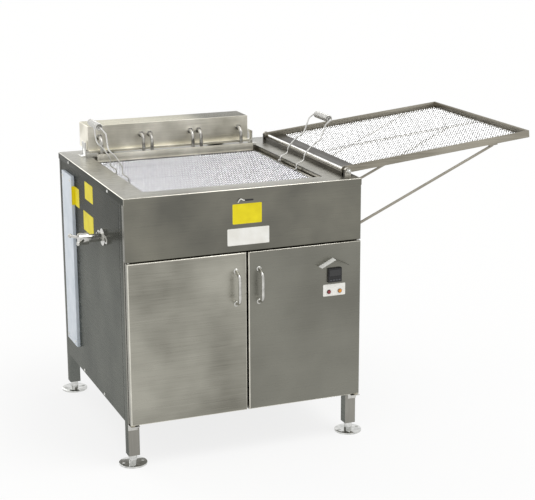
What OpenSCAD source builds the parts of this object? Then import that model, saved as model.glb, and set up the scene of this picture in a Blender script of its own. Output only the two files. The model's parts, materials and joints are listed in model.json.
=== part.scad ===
// Free-standing electric donut fryer: a stainless cabinet with an open kettle, a swing-up heating
// head, a lift-out fry screen with wire bails and a drain tray hinged on the right.
// Millimetres, +Z up, front towards -Y, origin on the floor in the middle of the four feet.

/* [Cabinet] */
// Width across the corner posts
cabinet_w = 800; // [760:5:900]
// Distance between the middles of the front and rear posts
post_pitch = 754; // [740:2:820]
// Height of the deck above the floor
deck_h = 886; // [860:2:940]
// Height of the cabinet's underside above the floor
underside_h = 143; // [125:1:180]
// Thickness of the stainless sheet
sheet_t = 2; // [1.5:0.1:2.5]
// Outside of the square corner post
post_side = 38; // [34:1:44]
// Wall of the corner post
post_wall = 2; // [1.5:0.1:3]
// Height of the deck's turned-down rim
rim_h = 22; // [16:1:34]
// Height of the apron below the rim
apron_h = 182; // [170:1:200]
// How far the doors stand in front of the apron
door_proud = 8; // [5:0.5:11]
// Width of the panels' turned-in edges
panel_return = 20; // [12:1:30]
// Height of the floor pan's front lip
floor_lip = 18; // [10:1:30]

/* [Feet] */
// Height of the post's lower end above the floor
foot_h = 33; // [28:1:50]
// Diameter of the foot's flange
foot_d = 92; // [84:1:110]
// Thickness of the foot's flange
foot_t = 6; // [4:0.5:10]
// Diameter of the foot's neck
foot_neck_d = 26; // [22:1:32]
// Diameter of the foot's levelling stem
foot_stem_d = 20; // [14:1:22]
// Length of the stem inside the post
foot_stem_l = 25; // [15:1:28]
// Distance between the two bolt holes of a foot
foot_bolt_pitch = 64; // [56:1:68]
// Diameter of the foot's bolt holes
foot_bolt_d = 11; // [8:0.5:12]
// Height of the solid plug in the post's lower end
post_plug = 30; // [28:1:45]

/* [Kettle] */
// Width of the kettle's opening
kettle_w = 610; // [590:2:620]
// Length of the kettle's opening, front to rear
kettle_l = 610; // [590:2:620]
// Depth of the kettle below the deck
kettle_depth = 204; // [196:1:215]
// Radius of the corners of the deck's opening
kettle_r = 4; // [2:0.5:12]
// Sideways shift of the kettle from the cabinet's middle
kettle_x = -12; // [-18:1:-6]
// Width of the deck in front of the kettle
front_strip = 70; // [64:1:80]
// Width of the kettle's flange under the deck
kettle_flange = 18; // [12:1:20]

/* [Doors] */
// Thickness of the door pans
door_t = 24; // [20:1:26]
// Gap between door and frame behind it
door_reveal = 8; // [6:0.5:10]
// Gap round the doors
door_gap = 3; // [2:0.5:5]
// Diameter of the door's pivot pins
pivot_d = 8; // [6:0.5:8]
// Length of a pivot pin inside the door
pivot_l = 12; // [8:0.5:16]
// Height of a door pull
pull_l = 120; // [100:2:150]
// Diameter of the pull's bar
pull_d = 11; // [8:0.5:13]
// Distance of the pull's bar from the door
pull_reach = 34; // [28:1:42]
// Distance of a pull from the gap between the doors
pull_x = 39; // [30:1:60]
// Distance of the pull's middle below the door's top
pull_z = 112; // [90:1:180]

/* [Controls] */
// Side of the temperature controller's bezel
bezel_side = 48; // [48:1:52]
// Depth of the bezel in front of the door
bezel_t = 8; // [6:0.5:10]
// Side of the controller's body behind the door
controller_side = 44.6; // [42:0.2:44.8]
// Depth of the controller's body
controller_l = 80; // [60:1:95]
// Distance of the controller's middle from the cabinet's right side
controller_x = 97; // [88:1:110]
// Distance of the controller's middle below the door's top
controller_z = 106; // [95:1:115]
// Width of a key
key_w = 7; // [5:0.5:8]
// Height of a key
key_h = 4; // [3:0.5:6]
// Travel of a key
key_travel = 0.8; // [0.5:0.1:1]
// Width of the drip hood above the controller
hood_w = 100; // [80:1:104]
// Rise of the hood's ridge
hood_rise = 24; // [14:1:26]
// Reach of the hood in front of the door
hood_reach = 28; // [20:1:35]
// Diameter of an indicator lamp's bezel
lamp_d = 13; // [12:0.5:16]
// Distance between the lamps
lamp_pitch = 39; // [30:1:44]
// Distance of the lamps below the controller's middle
lamp_z = 56; // [52:1:62]
// Width of the wiring box on the right door
wiring_box_w = 104; // [98:1:110]
// Height of the wiring box
wiring_box_h = 156; // [150:1:160]
// Depth of the wiring box behind the door's skin
wiring_box_l = 124; // [100:1:140]

/* [Heating head] */
// Width of the head
head_w = 598; // [580:2:604]
// Depth of the head's cover
head_d = 111; // [105:1:116]
// Height of the head
head_h = 86; // [80:1:110]
// Gap between deck and head
head_gap = 18; // [18:0.5:24]
// Width of the base plate's front lip
head_lip = 17; // [10:1:18]
// Sideways shift of the head from the kettle's middle
head_shift = -11; // [-13:1:-4]
// Diameter of the heating tubes
tube_d = 12; // [8:0.5:13]
// Bend radius of the heating tubes
tube_bend = 26; // [20:1:28]
// Distance between the two legs of one element
hairpin_w = 152; // [120:2:156]
// Distance between neighbouring elements
hairpin_pitch = 183; // [176:1:186]
// Height of the elements above the kettle's bottom
element_h = 78; // [70:1:84]
// Height of the tube entries above the deck
entry_h = 65; // [55:1:72]

/* [Fry screen] */
// Depth of the screen's top below the deck
screen_drop = 14; // [10:0.5:18]
// Gap between screen and kettle at the sides
screen_gap = 7; // [6:0.5:12]
// Gap between screen and kettle at the front
screen_front_gap = 10; // [8:0.5:14]
// Gap between screen and kettle at the rear, where the elements go down
screen_rear_gap = 22; // [20:0.5:30]
// Corner radius of the screen
screen_r = 16; // [12:1:20]
// Height of the guard strip at the screen's rear edge
guard_h = 32; // [20:1:36]
// Width of the screen's edge bar
edge_w = 8; // [6:0.5:10]
// Height of the screen's edge bar
edge_h = 6; // [5:0.5:8]
// Width of a net wire
net_wire = 3; // [2:0.2:4]
// Gaps of a net along its side
net_gaps = 10; // [6:1:12]
// Diameter of the bail wire
bail_d = 5; // [4:0.2:5.4]
// Width of a bail between its wires
bail_w = 144; // [130:2:160]
// Length of a bail from pivot to grip
bail_l = 204; // [185:1:212]
// Outward lean of the left bail
left_lean = 25; // [20:1:38]
// Outward lean of the right bail
right_lean = 39; // [25:1:40]
// Diameter of the coil grip
grip_d = 24; // [20:1:28]
// Length of the coil grip
grip_l = 108; // [90:1:112]
// Wire diameter of the coil grip
grip_wire = 3.2; // [2.4:0.2:3.8]
// Curls of one coil grip
grip_curls = 20; // [10:1:22]

/* [Drain tray] */
// Length of the tray from its hinge
tray_l = 695; // [640:5:740]
// Width of the tray
tray_w = 682; // [660:2:690]
// Upward tilt of the tray
tray_tilt = 5.8; // [4:0.2:8]
// Height of the tray's edge
tray_h = 24; // [20:1:28]
// Wall of the tray's edge
tray_wall = 3; // [2:0.2:4]
// Width of the flange under the net
tray_flange = 14; // [10:1:20]
// Distance of the hinge from the cabinet's right side
tray_inset = 36; // [28:1:40]
// Height of the hinge above the deck
tray_rise = 20.5; // [20:0.5:30]
// Diameter of the hinge rod
rod_d = 10; // [8:0.5:12]
// Width of the solid drip sheet at the hinge
drip_w = 50; // [30:1:90]
// Diameter of the braces
brace_d = 9; // [7:0.5:12]
// Distance of the braces' upper ends from the hinge
brace_at = 555; // [500:5:600]
// Slope of the braces below the level
brace_slope = 24.5; // [20:0.5:30]

/* [Side port] */
// Outer diameter of the port's pipe
pipe_d = 27; // [22:0.5:30]
// Wall of the pipe
pipe_wall = 3; // [2:0.5:4]
// Reach of the pipe from the cabinet's side
pipe_reach = 80; // [70:1:95]
// Distance between the port's flange bolts
flange_pitch = 91; // [84:1:100]
// Thickness of the port's flange
flange_t = 8; // [6:0.5:12]
// Outer diameter of the wing cap
cap_d = 40; // [36:1:44]
// Length of the wing cap
cap_l = 30; // [24:1:36]
// Span of the cap's wings between their balls
wing_span = 111; // [100:1:120]
// Height of the port above the kettle's bottom
port_h = 30; // [26:1:36]

/* [Raceway] */
// Width of the cable raceway
raceway_w = 129; // [110:1:140]
// Height of the raceway
raceway_h = 614; // [500:2:630]
// Depth of the raceway
raceway_d = 12; // [10:0.5:18]
// Distance of the raceway's top below the deck's rim
raceway_z = 26; // [20:1:60]
// Distance of the raceway's rear edge behind the kettle
raceway_back = 56; // [20:1:80]

/* [Hidden] */

$fn = 64;
// Overrun of every cut
over = 1;
// Radial clearance of a turning fit
turn_fit = 0.05;
// Clearance between pieces that only pass each other
pass_gap = 0.3;
// Root gap between plates that are welded together
weld_gap = 0.05;

// Colours
steel = [0.62, 0.62, 0.59];
side_steel = [0.45, 0.46, 0.46];
bright = [0.85, 0.85, 0.86];
wire = [0.92, 0.92, 0.94];
painted = [0.80, 0.84, 0.90];
black = [0.08, 0.08, 0.09];
red = [0.65, 0.05, 0.08];
amber = [0.90, 0.55, 0.10];
cream = [0.85, 0.83, 0.75];
dark_metal = [0.25, 0.25, 0.26];

// Cabinet levels and planes
half_w = cabinet_w / 2;
post_x = half_w - post_side / 2;
post_y = post_pitch / 2;
post_in_x = half_w - post_side;
post_in_y = post_y - post_side / 2;
rear_y = post_y + post_side / 2;
post_front_y = -rear_y;
door_back_y = post_front_y - door_reveal;
door_face_y = door_back_y - door_t;
apron_face_y = door_face_y + door_proud;
deck_front_y = apron_face_y - sheet_t;
deck_rear_y = rear_y + sheet_t;
deck_under = deck_h - sheet_t;
rim_bottom = deck_h - rim_h;
apron_bottom = rim_bottom - apron_h;
floor_z = underside_h + sheet_t;
floor_top = floor_z + sheet_t;

// Kettle
kettle_front_y = apron_face_y + front_strip;
kettle_rear_y = kettle_front_y + kettle_l;
kettle_y = (kettle_front_y + kettle_rear_y) / 2;
kettle_left_x = kettle_x - kettle_w / 2;
kettle_right_x = kettle_x + kettle_w / 2;
kettle_floor = deck_h - kettle_depth;
side_strip = half_w - max(-kettle_left_x, kettle_right_x);
flange_w = min(kettle_flange, side_strip - sheet_t - pass_gap);

// Doors
door_top = apron_bottom - door_gap;
bracket_top = underside_h + sheet_t / 2;
bracket_t = 3;
bracket_drop = 22;
bracket_share = 0.8;
washer_t = 2.7;
washer_d = 16;
door_bottom = bracket_top + washer_t + pass_gap;
door_h = door_top - door_bottom;
door_near_x = door_gap;
door_far_x = half_w - door_gap;
pull_mid_z = door_top - pull_z;
pivot_inset = 7.5;
pivot_x = door_far_x - pivot_inset;
pivot_y = door_face_y + door_t / 2;

// Controls on the right door
cutout_side = controller_side + 2 * pass_gap;
bezel_front_y = door_face_y - bezel_t;
key_clear = 0.4;
key_proud = key_travel + key_clear;
key_l = 4;
key_depth = key_l - key_proud + key_travel + key_clear;
key_pitch = 10;
key_row_inset = 8;
control_x = half_w - controller_x;
control_z = door_top - controller_z;
key_row_z = control_z - bezel_side / 2 + key_row_inset;
key_shares = [-1.5, -0.5, 0.5, 1.5];
window_w = 40;
window_h = 22;
window_rise = 8;
window_z = control_z + window_rise;
window_t = 1;
hood_t = 1.5;
hood_set = 6;
hood_x = control_x - hood_set;
hood_over = 34;
hood_apex_z = control_z + bezel_side / 2 + hood_over;
lamp_lip = 1.6;
lamp_body_d = lamp_d - 2 * lamp_lip;
lamp_bezel_t = 4;
lamp_body_l = 30;
lamp_x = control_x;
lamp_row_z = control_z - lamp_z;
wiring_box_set = 10;
wiring_box_drop = 3;
wiring_box_x = control_x - wiring_box_set;
wiring_box_z = control_z - wiring_box_drop;

// Heating head
head_x = kettle_x + head_shift;
head_left_x = head_x - head_w / 2;
head_right_x = head_x + head_w / 2;
head_rear_y = deck_rear_y;
head_front_y = head_rear_y - head_d;
head_z = deck_h + head_gap;
head_base_top = head_z + sheet_t;
head_top = head_z + head_h;
head_lip_drop = 6;
knuckle_d = 16;
knuckle_pin_d = 8;
hinge_z = deck_h + head_gap / 2;
hinge_inset = 6;
hinge_y = head_rear_y - hinge_inset;
hinge_leaf_w = 60;
hinge_leaf_l = 30;
hinge_mid_w = 24;
hinge_side_gap = 0.5;
hinge_shares = [-0.35, 0.35];
hinge_web = knuckle_d / 2;

// Heating elements
entry_z = deck_h + entry_h;
nut_l = 10;
nut_d = 22;
tube_clear = 1;
tube_stub = nut_l + tube_clear;
leg_y = head_front_y - tube_stub - tube_bend;
tube_inside = 30;
tube_end_y = head_front_y + tube_inside;
element_z = kettle_floor + element_h;
element_front_gap = 38;
hairpin_r = hairpin_w / 2;
hairpin_turn_y = kettle_front_y + element_front_gap + hairpin_r;
element_xs = [for (k = [-1, 0, 1]) head_x + k * hairpin_pitch];

// Terminal blocks in the head
block_w = 60;
block_l = 40;
block_h = 26;

// Guides at the ends of the head
guide_t = 3;
guide_gap = 10;
guide_l = 44;
guide_h = 50;
guide_foot = 18;
guide_tab = 12;

// Fry screen
screen_top = deck_h - screen_drop;
screen_w = kettle_w - 2 * screen_gap;
screen_l = kettle_l - screen_front_gap - screen_rear_gap;
screen_y = kettle_front_y + screen_front_gap + screen_l / 2;
screen_z = screen_top - edge_h;
screen_hole_r = screen_r - edge_w;
guard_w = screen_w - screen_r;
guard_t = 1.5;
net_t = 2;
lug_t = 6;
lug_gap = 0.8;
lug_wall = 2.5;
lug_sink = 1;
lug_d = bail_d + 2 * lug_wall;
bail_pivot_z = screen_top + lug_d / 2 - lug_sink;
bail_pivot_x = screen_w / 2 - edge_w / 2;
bail_set = 39;
bail_y = kettle_y - bail_set;

// Rack under the fry screen
rack_bar_w = 12;
rack_bar_h = 5.7;
rack_rail_w = 10;
rack_rail_h = 6;
rack_leg = 8;
rack_rail_x = hairpin_pitch + hairpin_r;
rack_l = 500;
rack_end_gap = 3;
rack_half = screen_w / 2 - rack_end_gap;
rack_bar_shares = [-0.4, 0, 0.4];
rack_top = screen_z - pass_gap;
rack_rail_z = rack_top - rack_bar_h - rack_rail_h;
rack_leg_z = element_z + tube_d / 2 + pass_gap;

// Bail profile: shares of the bail's length, and shares of the kink's depth across it
bail_kink = 8.6;
bail_along_shares = [0.0735, 0.1814, 0.2824, 0.480, 0.632, 0.799, 0.882];
bail_across_shares = [-0.81, 0.38, -0.58, -0.08, 1, -0.12, -0.70];
bail_corner_r = 12;
bail_corner_steps = 4;
bail_sides = 8;
bail_pin_over = 1.5;
bail_pin_l = bail_d / 2 + lug_gap + lug_t + bail_pin_over;

// Coil grip
full_turn = 360;
curl_rings = 8;
curl_sides = 6;
grip_r = (grip_d - grip_wire) / 2;
grip_core_r = bail_d / 2 + pass_gap;
grip_step = (grip_l - grip_wire) / grip_curls;

// Drain tray
rail_w = 16;
rail_h = 14;
rail_set = 9;
rail_gap = 8;
rail_end_gap = 3;
guide_out_x = head_right_x + guide_gap + guide_foot;
tray_hinge_x = max(half_w - tray_inset, guide_out_x + rail_gap + rail_set);
tray_hinge_z = deck_h + tray_rise;
tray_front_gap = 50;
tray_front_y = apron_face_y + tray_front_gap;
tray_rear_y = tray_front_y + tray_w;
tray_y = (tray_front_y + tray_rear_y) / 2;
rod_gap = 5;
tray_inner_u = rod_d / 2 + rod_gap;
tray_net_u = tray_inner_u + tray_wall + drip_w;
tray_mid_bar = 20;
tray_inner_h = 6;
tray_post_w = 22;
tray_post_t = 10;
tray_post_inset = 30;
tray_post_gap = 16;
tray_front_post_y = apron_face_y + tray_post_inset;
tray_rear_post_y = tray_rear_y + tray_post_gap;
rod_nut_d = 18;
rod_nut_l = 7;
rod_nut_dome = 14;
brace_pad_l = 30;
brace_pad_w = 14;
brace_pad_t = 4;
brace_ball_over = 3;
brace_ball_d = brace_d + brace_ball_over;
brace_ys = [tray_front_y + tray_flange / 2, tray_y, tray_rear_y - tray_flange / 2];
brace_top_u = brace_at * cos(tray_tilt) + (tray_h / 2 + brace_pad_t) * sin(tray_tilt);
brace_top_x = tray_hinge_x + brace_top_u;
brace_top_z = tray_hinge_z + brace_at * sin(tray_tilt) - (tray_h / 2 + brace_pad_t) * cos(tray_tilt);
brace_ball_x = half_w + brace_ball_d / 2 + pass_gap;
brace_l = (brace_top_x - brace_ball_x) / cos(brace_slope);

// Side port
port_set = 140;
port_y = kettle_y - port_set;
port_z = kettle_floor + port_h;
pipe_end_x = -half_w - pipe_reach;
flange_d = 56;
flange_ear_d = 26;
port_bolt_d = 8;
port_bolt_head = 14;
port_bolt_head_t = 6;
cap_end_t = 5.5;
cap_end_x = pipe_end_x - cap_end_t - pass_gap;
wing_d = 9;
wing_ball_d = 14;
wing_reach = 14;

// Raceway
raceway_low_z = rim_bottom - raceway_z - raceway_h;
raceway_y = kettle_rear_y + raceway_back - raceway_w / 2;
screw_d = 10;
screw_t = 3;
screw_tip_d = 6;
screw_tip_t = 1.5;
raceway_screw_inset = 16;
rim_screw_shares = [-0.685, 0.70];
sill_screw_shares = [-0.345, 0.38];

// Inner fittings
epanel_w = 380;
epanel_h = 380;
epanel_foot = 30;
epanel_gap = 60;
epanel_y = post_in_y - epanel_gap;
contactor_w = 76;
contactor_h = 92;
contactor_l = 84;
contactor_pitch = 130;
contactor_z = 200;
stat_w = 50;
stat_h = 40;
stat_l = 36;
stat_probe_d = 9;
stat_probe_l = 140;
stat_drop = 25;
stat_z = kettle_floor + element_h - stat_drop;
stat_x = kettle_x;
probe_d = 6;
probe_l = 120;
probe_hex = 18;
probe_hex_l = 14;
probe_set = 38;
probe_x = kettle_x + probe_set;
gland_d = 32;
gland_l = 26;
gland_bore = 16;
gland_thread_d = 24;
gland_nut_l = 8;
gland_x = -250;
gland_z = 230;
catch_w = 30;
catch_h = 20;
catch_l = 18;
catch_x = 45;
vent_w = 80;
vent_h = 8;
vent_pitch = 24;
vent_rows = 6;
vent_z = 330;
vent_x = 170;

// Rounded rectangle about the origin
module rounded_rect(w, l, r) {
  square([w - 2 * r, l], center = true);
  square([w, l - 2 * r], center = true);
  for (sx = [-1, 1], sy = [-1, 1])
    translate([sx * (w / 2 - r), sy * (l / 2 - r)]) circle(r);
}

// Cylinders along X and Y
module rod_x(d, l) rotate([0, 90, 0]) cylinder(d = d, h = l);
module rod_y(d, l) rotate([-90, 0, 0]) cylinder(d = d, h = l);

// Straight round bar between two points
module bar_between(a, b, d) {
  v = b - a;
  len = norm(v);
  translate(a) rotate([0, acos(v[2] / len), atan2(v[1], v[0])]) cylinder(d = d, h = len);
}

// Screw head with its face at z = 0
module screw_head() {
  cylinder(d = screw_d, h = screw_t - screw_tip_t);
  translate([0, 0, screw_t - screw_tip_t]) cylinder(d = screw_tip_d, h = screw_tip_t);
}

// Tube along a list of points, closed at both ends, seen from one reference direction
function unit(v) = v / norm(v);
function tangent(p, i) =
  let (last = len(p) - 1)
  i == 0 ? unit(p[1] - p[0]) :
  i == last ? unit(p[last] - p[last - 1]) :
  unit(unit(p[i] - p[i - 1]) + unit(p[i + 1] - p[i]));
function ring(p, i, r, sides, ref) =
  let (t = tangent(p, i), u = unit(ref[i] - (ref[i] * t) * t), v = cross(t, u))
  [for (k = [0 : sides - 1]) let (a = 360 * k / sides) p[i] + r * (cos(a) * u + sin(a) * v)];

module swept_tube(p, r, sides, ref) {
  n = len(p);
  points = [for (i = [0 : n - 1]) each ring(p, i, r, sides, ref)];
  walls = [
    for (i = [0 : n - 2], k = [0 : sides - 1])
      let (a = i * sides + k, b = i * sides + (k + 1) % sides, c = a + sides, d = b + sides)
        each [[a, c, b], [b, c, d]]
  ];
  caps = [
    for (k = [1 : sides - 2])
      each [[0, k, k + 1], [(n - 1) * sides, (n - 1) * sides + k + 1, (n - 1) * sides + k]]
  ];
  polyhedron(points = points, faces = concat(walls, caps), convexity = 10);
}

// Sheet deck with the kettle's opening and a turned-down rim
module deck() {
  color(steel) difference() {
    translate([-half_w - sheet_t, deck_front_y, rim_bottom])
      cube([cabinet_w + 2 * sheet_t, deck_rear_y - deck_front_y, rim_h]);
    translate([-half_w, apron_face_y, rim_bottom - over])
      cube([cabinet_w, rear_y - apron_face_y, rim_h - sheet_t + over]);
    translate([kettle_x, kettle_y, deck_under - over])
      linear_extrude(sheet_t + 2 * over) rounded_rect(kettle_w, kettle_l, kettle_r);
  }
}

// Open tank welded from plates, with flange strips that carry it under the deck
module kettle() {
  wall_z = kettle_floor - sheet_t;
  wall_h = deck_under - wall_z;
  across = kettle_w - 2 * weld_gap;
  strip_w = flange_w - sheet_t - weld_gap;
  color(steel) difference() {
    union() {
      translate([kettle_left_x + weld_gap, kettle_front_y + weld_gap, wall_z])
        cube([across, kettle_l - 2 * weld_gap, sheet_t]);
      for (x = [kettle_left_x - sheet_t, kettle_right_x]) translate([x, kettle_front_y - sheet_t, wall_z])
        cube([sheet_t, kettle_l + 2 * sheet_t, wall_h]);
      for (y = [kettle_front_y - sheet_t, kettle_rear_y]) translate([kettle_left_x + weld_gap, y, wall_z])
        cube([across, sheet_t, wall_h]);
      for (x = [kettle_left_x - flange_w, kettle_right_x + sheet_t + weld_gap])
        translate([x, kettle_front_y - flange_w, deck_under - sheet_t])
          cube([strip_w, kettle_l + 2 * flange_w, sheet_t]);
      for (y = [kettle_front_y - flange_w, kettle_rear_y + sheet_t + weld_gap])
        translate([kettle_left_x - sheet_t, y, deck_under - sheet_t])
          cube([kettle_w + 2 * sheet_t, strip_w, sheet_t]);
    }
    for (sx = [-1, 1], sy = [-1, 1]) translate([sx * post_x, sy * post_y, deck_under - sheet_t])
      cube([post_side + 2 * pass_gap, post_side + 2 * pass_gap, 2 * sheet_t], center = true);
    translate([kettle_left_x - sheet_t - over, port_y, port_z])
      rod_x(pipe_d + 2 * turn_fit, sheet_t + 2 * over);
    translate([stat_x, kettle_rear_y - over, stat_z])
      rod_y(stat_probe_d + 2 * turn_fit, sheet_t + 2 * over);
    translate([probe_x, kettle_rear_y - over, stat_z])
      rod_y(probe_d + 2 * turn_fit, sheet_t + 2 * over);
  }
}

// Front panel above the doors with turned-in sides and lower edge
module front_apron() {
  apron_l = post_front_y - apron_face_y;
  color(steel) translate([-half_w, apron_face_y, apron_bottom]) {
    cube([cabinet_w, sheet_t, deck_under - apron_bottom]);
    cube([cabinet_w, apron_l, sheet_t]);
    for (x = [0, cabinet_w - sheet_t])
      translate([x, 0, 0]) cube([sheet_t, apron_l, deck_under - apron_bottom]);
  }
}

// Side panel between the posts, drawn for the right side
module side_panel() {
  translate([half_w - sheet_t, -post_in_y, underside_h])
    cube([sheet_t, 2 * post_in_y, deck_under - underside_h]);
  translate([half_w - panel_return, -post_in_y, underside_h])
    cube([panel_return, 2 * post_in_y, sheet_t]);
}

module left_side_panel() {
  color(side_steel) difference() {
    mirror([1, 0, 0]) side_panel();
    translate([-half_w - over, port_y, port_z]) rod_x(pipe_d + 2 * turn_fit, sheet_t + 2 * over);
  }
}

module right_side_panel() {
  color(side_steel) side_panel();
}

// Rear panel with vent slots and the supply gland's hole
module rear_panel() {
  color(side_steel) difference() {
    union() {
      translate([-post_in_x, rear_y - sheet_t, underside_h])
        cube([2 * post_in_x, sheet_t, deck_under - underside_h]);
      translate([-post_in_x, rear_y - panel_return, underside_h])
        cube([2 * post_in_x, panel_return, sheet_t]);
    }
    for (sx = [-1, 1], k = [0 : vent_rows - 1])
      translate([sx * vent_x - vent_w / 2, rear_y - sheet_t - over, vent_z + k * vent_pitch])
        cube([vent_w, sheet_t + 2 * over, vent_h]);
    translate([gland_x, rear_y - sheet_t - over, gland_z])
      rod_y(gland_thread_d + 2 * turn_fit, sheet_t + 2 * over);
  }
}

// Floor of the cabinet, notched round the posts
module floor_pan() {
  color(steel) difference() {
    union() {
      translate([-half_w + sheet_t, post_front_y, floor_z])
        cube([cabinet_w - 2 * sheet_t, 2 * rear_y - sheet_t, sheet_t]);
      translate([-post_in_x, post_front_y, floor_z])
        cube([2 * post_in_x, sheet_t, floor_lip]);
    }
    for (sx = [-1, 1], sy = [-1, 1])
      translate([sx * post_x - post_side / 2, sy * post_y - post_side / 2, floor_z - over])
        cube([post_side, post_side, sheet_t + 2 * over]);
  }
}

// Corner post: square tube with a drilled plug in its lower end
module corner_post() {
  post_h = deck_under - foot_h;
  inner = post_side - 2 * post_wall;
  difference() {
    translate([-post_side / 2, -post_side / 2, foot_h]) cube([post_side, post_side, post_h]);
    translate([-inner / 2, -inner / 2, foot_h + post_plug]) cube([inner, inner, post_h]);
    translate([0, 0, foot_h - over])
      cylinder(d = foot_stem_d + 2 * turn_fit, h = post_plug + 2 * over);
  }
}

module corner_posts() {
  color(steel) for (sx = [-1, 1], sy = [-1, 1])
    translate([sx * post_x, sy * post_y, 0]) corner_post();
}

// Flanged levelling foot with two floor bolt holes
module levelling_foot() {
  difference() {
    union() {
      cylinder(d = foot_d, h = foot_t);
      cylinder(d = foot_neck_d, h = foot_h);
      cylinder(d = foot_stem_d, h = foot_h + foot_stem_l);
    }
    for (s = [-1, 1])
      translate([s * foot_bolt_pitch / 2, 0, -over]) cylinder(d = foot_bolt_d, h = foot_t + 2 * over);
  }
}

module levelling_feet() {
  color(bright) for (sx = [-1, 1], sy = [-1, 1])
    translate([sx * post_x, sy * post_y, 0]) levelling_foot();
}

// Cable raceway on the left side, open towards the panel
module raceway() {
  color(painted) difference() {
    translate([-half_w - raceway_d, raceway_y - raceway_w / 2, raceway_low_z])
      cube([raceway_d, raceway_w, raceway_h]);
    translate([-half_w - raceway_d + sheet_t, raceway_y - raceway_w / 2 + sheet_t, raceway_low_z + sheet_t])
      cube([raceway_d, raceway_w - 2 * sheet_t, raceway_h - 2 * sheet_t]);
  }
}

// Heads of the screws in rim, sills and raceway
module panel_screws() {
  rim_screw_z = deck_h - rim_h / 2;
  sill_screw_z = underside_h + screw_d;
  raceway_screw_y = raceway_w / 2 - raceway_screw_inset;
  raceway_screw_z = raceway_h / 2 - raceway_screw_inset;
  color(bright) {
    for (s = [-1, 1], share = rim_screw_shares)
      translate([s * (half_w + sheet_t), share * post_in_y, rim_screw_z]) rotate([0, s * 90, 0]) screw_head();
    for (s = [-1, 1], share = sill_screw_shares)
      translate([s * half_w, share * post_in_y, sill_screw_z]) rotate([0, s * 90, 0]) screw_head();
    for (sy = [-1, 1], sz = [-1, 1])
      translate([-half_w - raceway_d, raceway_y + sy * raceway_screw_y,
                 raceway_low_z + raceway_h / 2 + sz * raceway_screw_z])
        rotate([0, -90, 0]) screw_head();
  }
}

// Pipe from the kettle out through the left side
module port_pipe() {
  pipe_l = kettle_left_x - pipe_end_x;
  color(bright) translate([pipe_end_x, port_y, port_z]) difference() {
    rod_x(pipe_d, pipe_l);
    translate([-over, 0, 0]) rod_x(pipe_d - 2 * pipe_wall, pipe_l + 2 * over);
  }
}

// Two-bolt flange that holds the pipe on the side panel
module port_flange() {
  color(bright) translate([-half_w - flange_t, port_y, port_z]) rotate([90, 0, 90]) difference() {
    linear_extrude(flange_t) {
      circle(d = flange_d);
      square([flange_pitch, flange_ear_d], center = true);
      for (s = [-1, 1]) translate([s * flange_pitch / 2, 0]) circle(d = flange_ear_d);
    }
    translate([0, 0, -over]) cylinder(d = pipe_d + 2 * turn_fit, h = flange_t + 2 * over);
    for (s = [-1, 1]) translate([s * flange_pitch / 2, 0, -over])
      cylinder(d = port_bolt_d + 2 * turn_fit, h = flange_t + 2 * over);
  }
}

module port_bolts() {
  color(bright) for (s = [-1, 1])
    translate([-half_w - flange_t, port_y + s * flange_pitch / 2, port_z]) {
      rod_x(port_bolt_d, flange_t);
      translate([-port_bolt_head_t, 0, 0]) rotate([0, 90, 0])
        cylinder(d = port_bolt_head, h = port_bolt_head_t, $fn = 6);
    }
}

// Screw cap with two wings that end in balls
module wing_cap() {
  color(bright) translate([cap_end_x, port_y, port_z]) {
    difference() {
      rod_x(cap_d, cap_l);
      translate([cap_end_t, 0, 0]) rod_x(pipe_d + 2 * turn_fit, cap_l);
    }
    for (s = [-1, 1]) {
      ball = [-wing_reach, s * wing_span / 2, 0];
      bar_between([cap_l / 3, s * cap_d / 3 + s * wing_d / 2, 0], ball, wing_d);
      translate(ball) sphere(d = wing_ball_d);
    }
  }
}

// Mounting plate for the switchgear, standing on the floor pan
module electrical_panel() {
  color(steel) translate([-epanel_w / 2, epanel_y, floor_top]) {
    cube([epanel_w, sheet_t, epanel_h]);
    cube([epanel_w, epanel_foot, sheet_t]);
  }
}

module contactors() {
  color(cream) for (s = [-1, 1])
    translate([s * contactor_pitch / 2 - contactor_w / 2, epanel_y - contactor_l, floor_top + contactor_z]) {
      cube([contactor_w, contactor_l, contactor_h]);
      translate([contactor_w / 4, -contactor_l / 8, contactor_h / 4])
        cube([contactor_w / 2, contactor_l / 4, contactor_h / 2]);
    }
}

// Safety thermostat on the kettle's rear wall, its bulb inside
module high_limit_thermostat() {
  wall_y = kettle_rear_y + sheet_t;
  color(dark_metal) {
    translate([stat_x - stat_w / 2, wall_y, stat_z - stat_h / 2]) cube([stat_w, stat_l, stat_h]);
    translate([stat_x, wall_y - stat_probe_l, stat_z]) rod_y(stat_probe_d, stat_probe_l + stat_l / 2);
  }
}

// Temperature probe with its hexagon fitting
module temperature_probe() {
  wall_y = kettle_rear_y + sheet_t;
  color(bright) {
    translate([probe_x, wall_y - probe_l, stat_z]) rod_y(probe_d, probe_l + probe_hex_l / 2);
    translate([probe_x, wall_y, stat_z]) rotate([-90, 0, 0])
      cylinder(d = probe_hex, h = probe_hex_l, $fn = 6);
  }
}

// Gland for the supply lead in the rear panel
module cable_gland() {
  color(black) translate([gland_x, rear_y, gland_z]) difference() {
    union() {
      rod_y(gland_d, gland_l);
      translate([0, -sheet_t, 0]) rod_y(gland_thread_d, sheet_t + gland_l / 2);
      translate([0, -sheet_t - gland_nut_l, 0]) rotate([-90, 0, 0])
        cylinder(d = gland_d, h = gland_nut_l, $fn = 6);
    }
    translate([0, -sheet_t - gland_nut_l - over, 0])
      rod_y(gland_bore, gland_l + sheet_t + gland_nut_l + 2 * over);
  }
}

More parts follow.
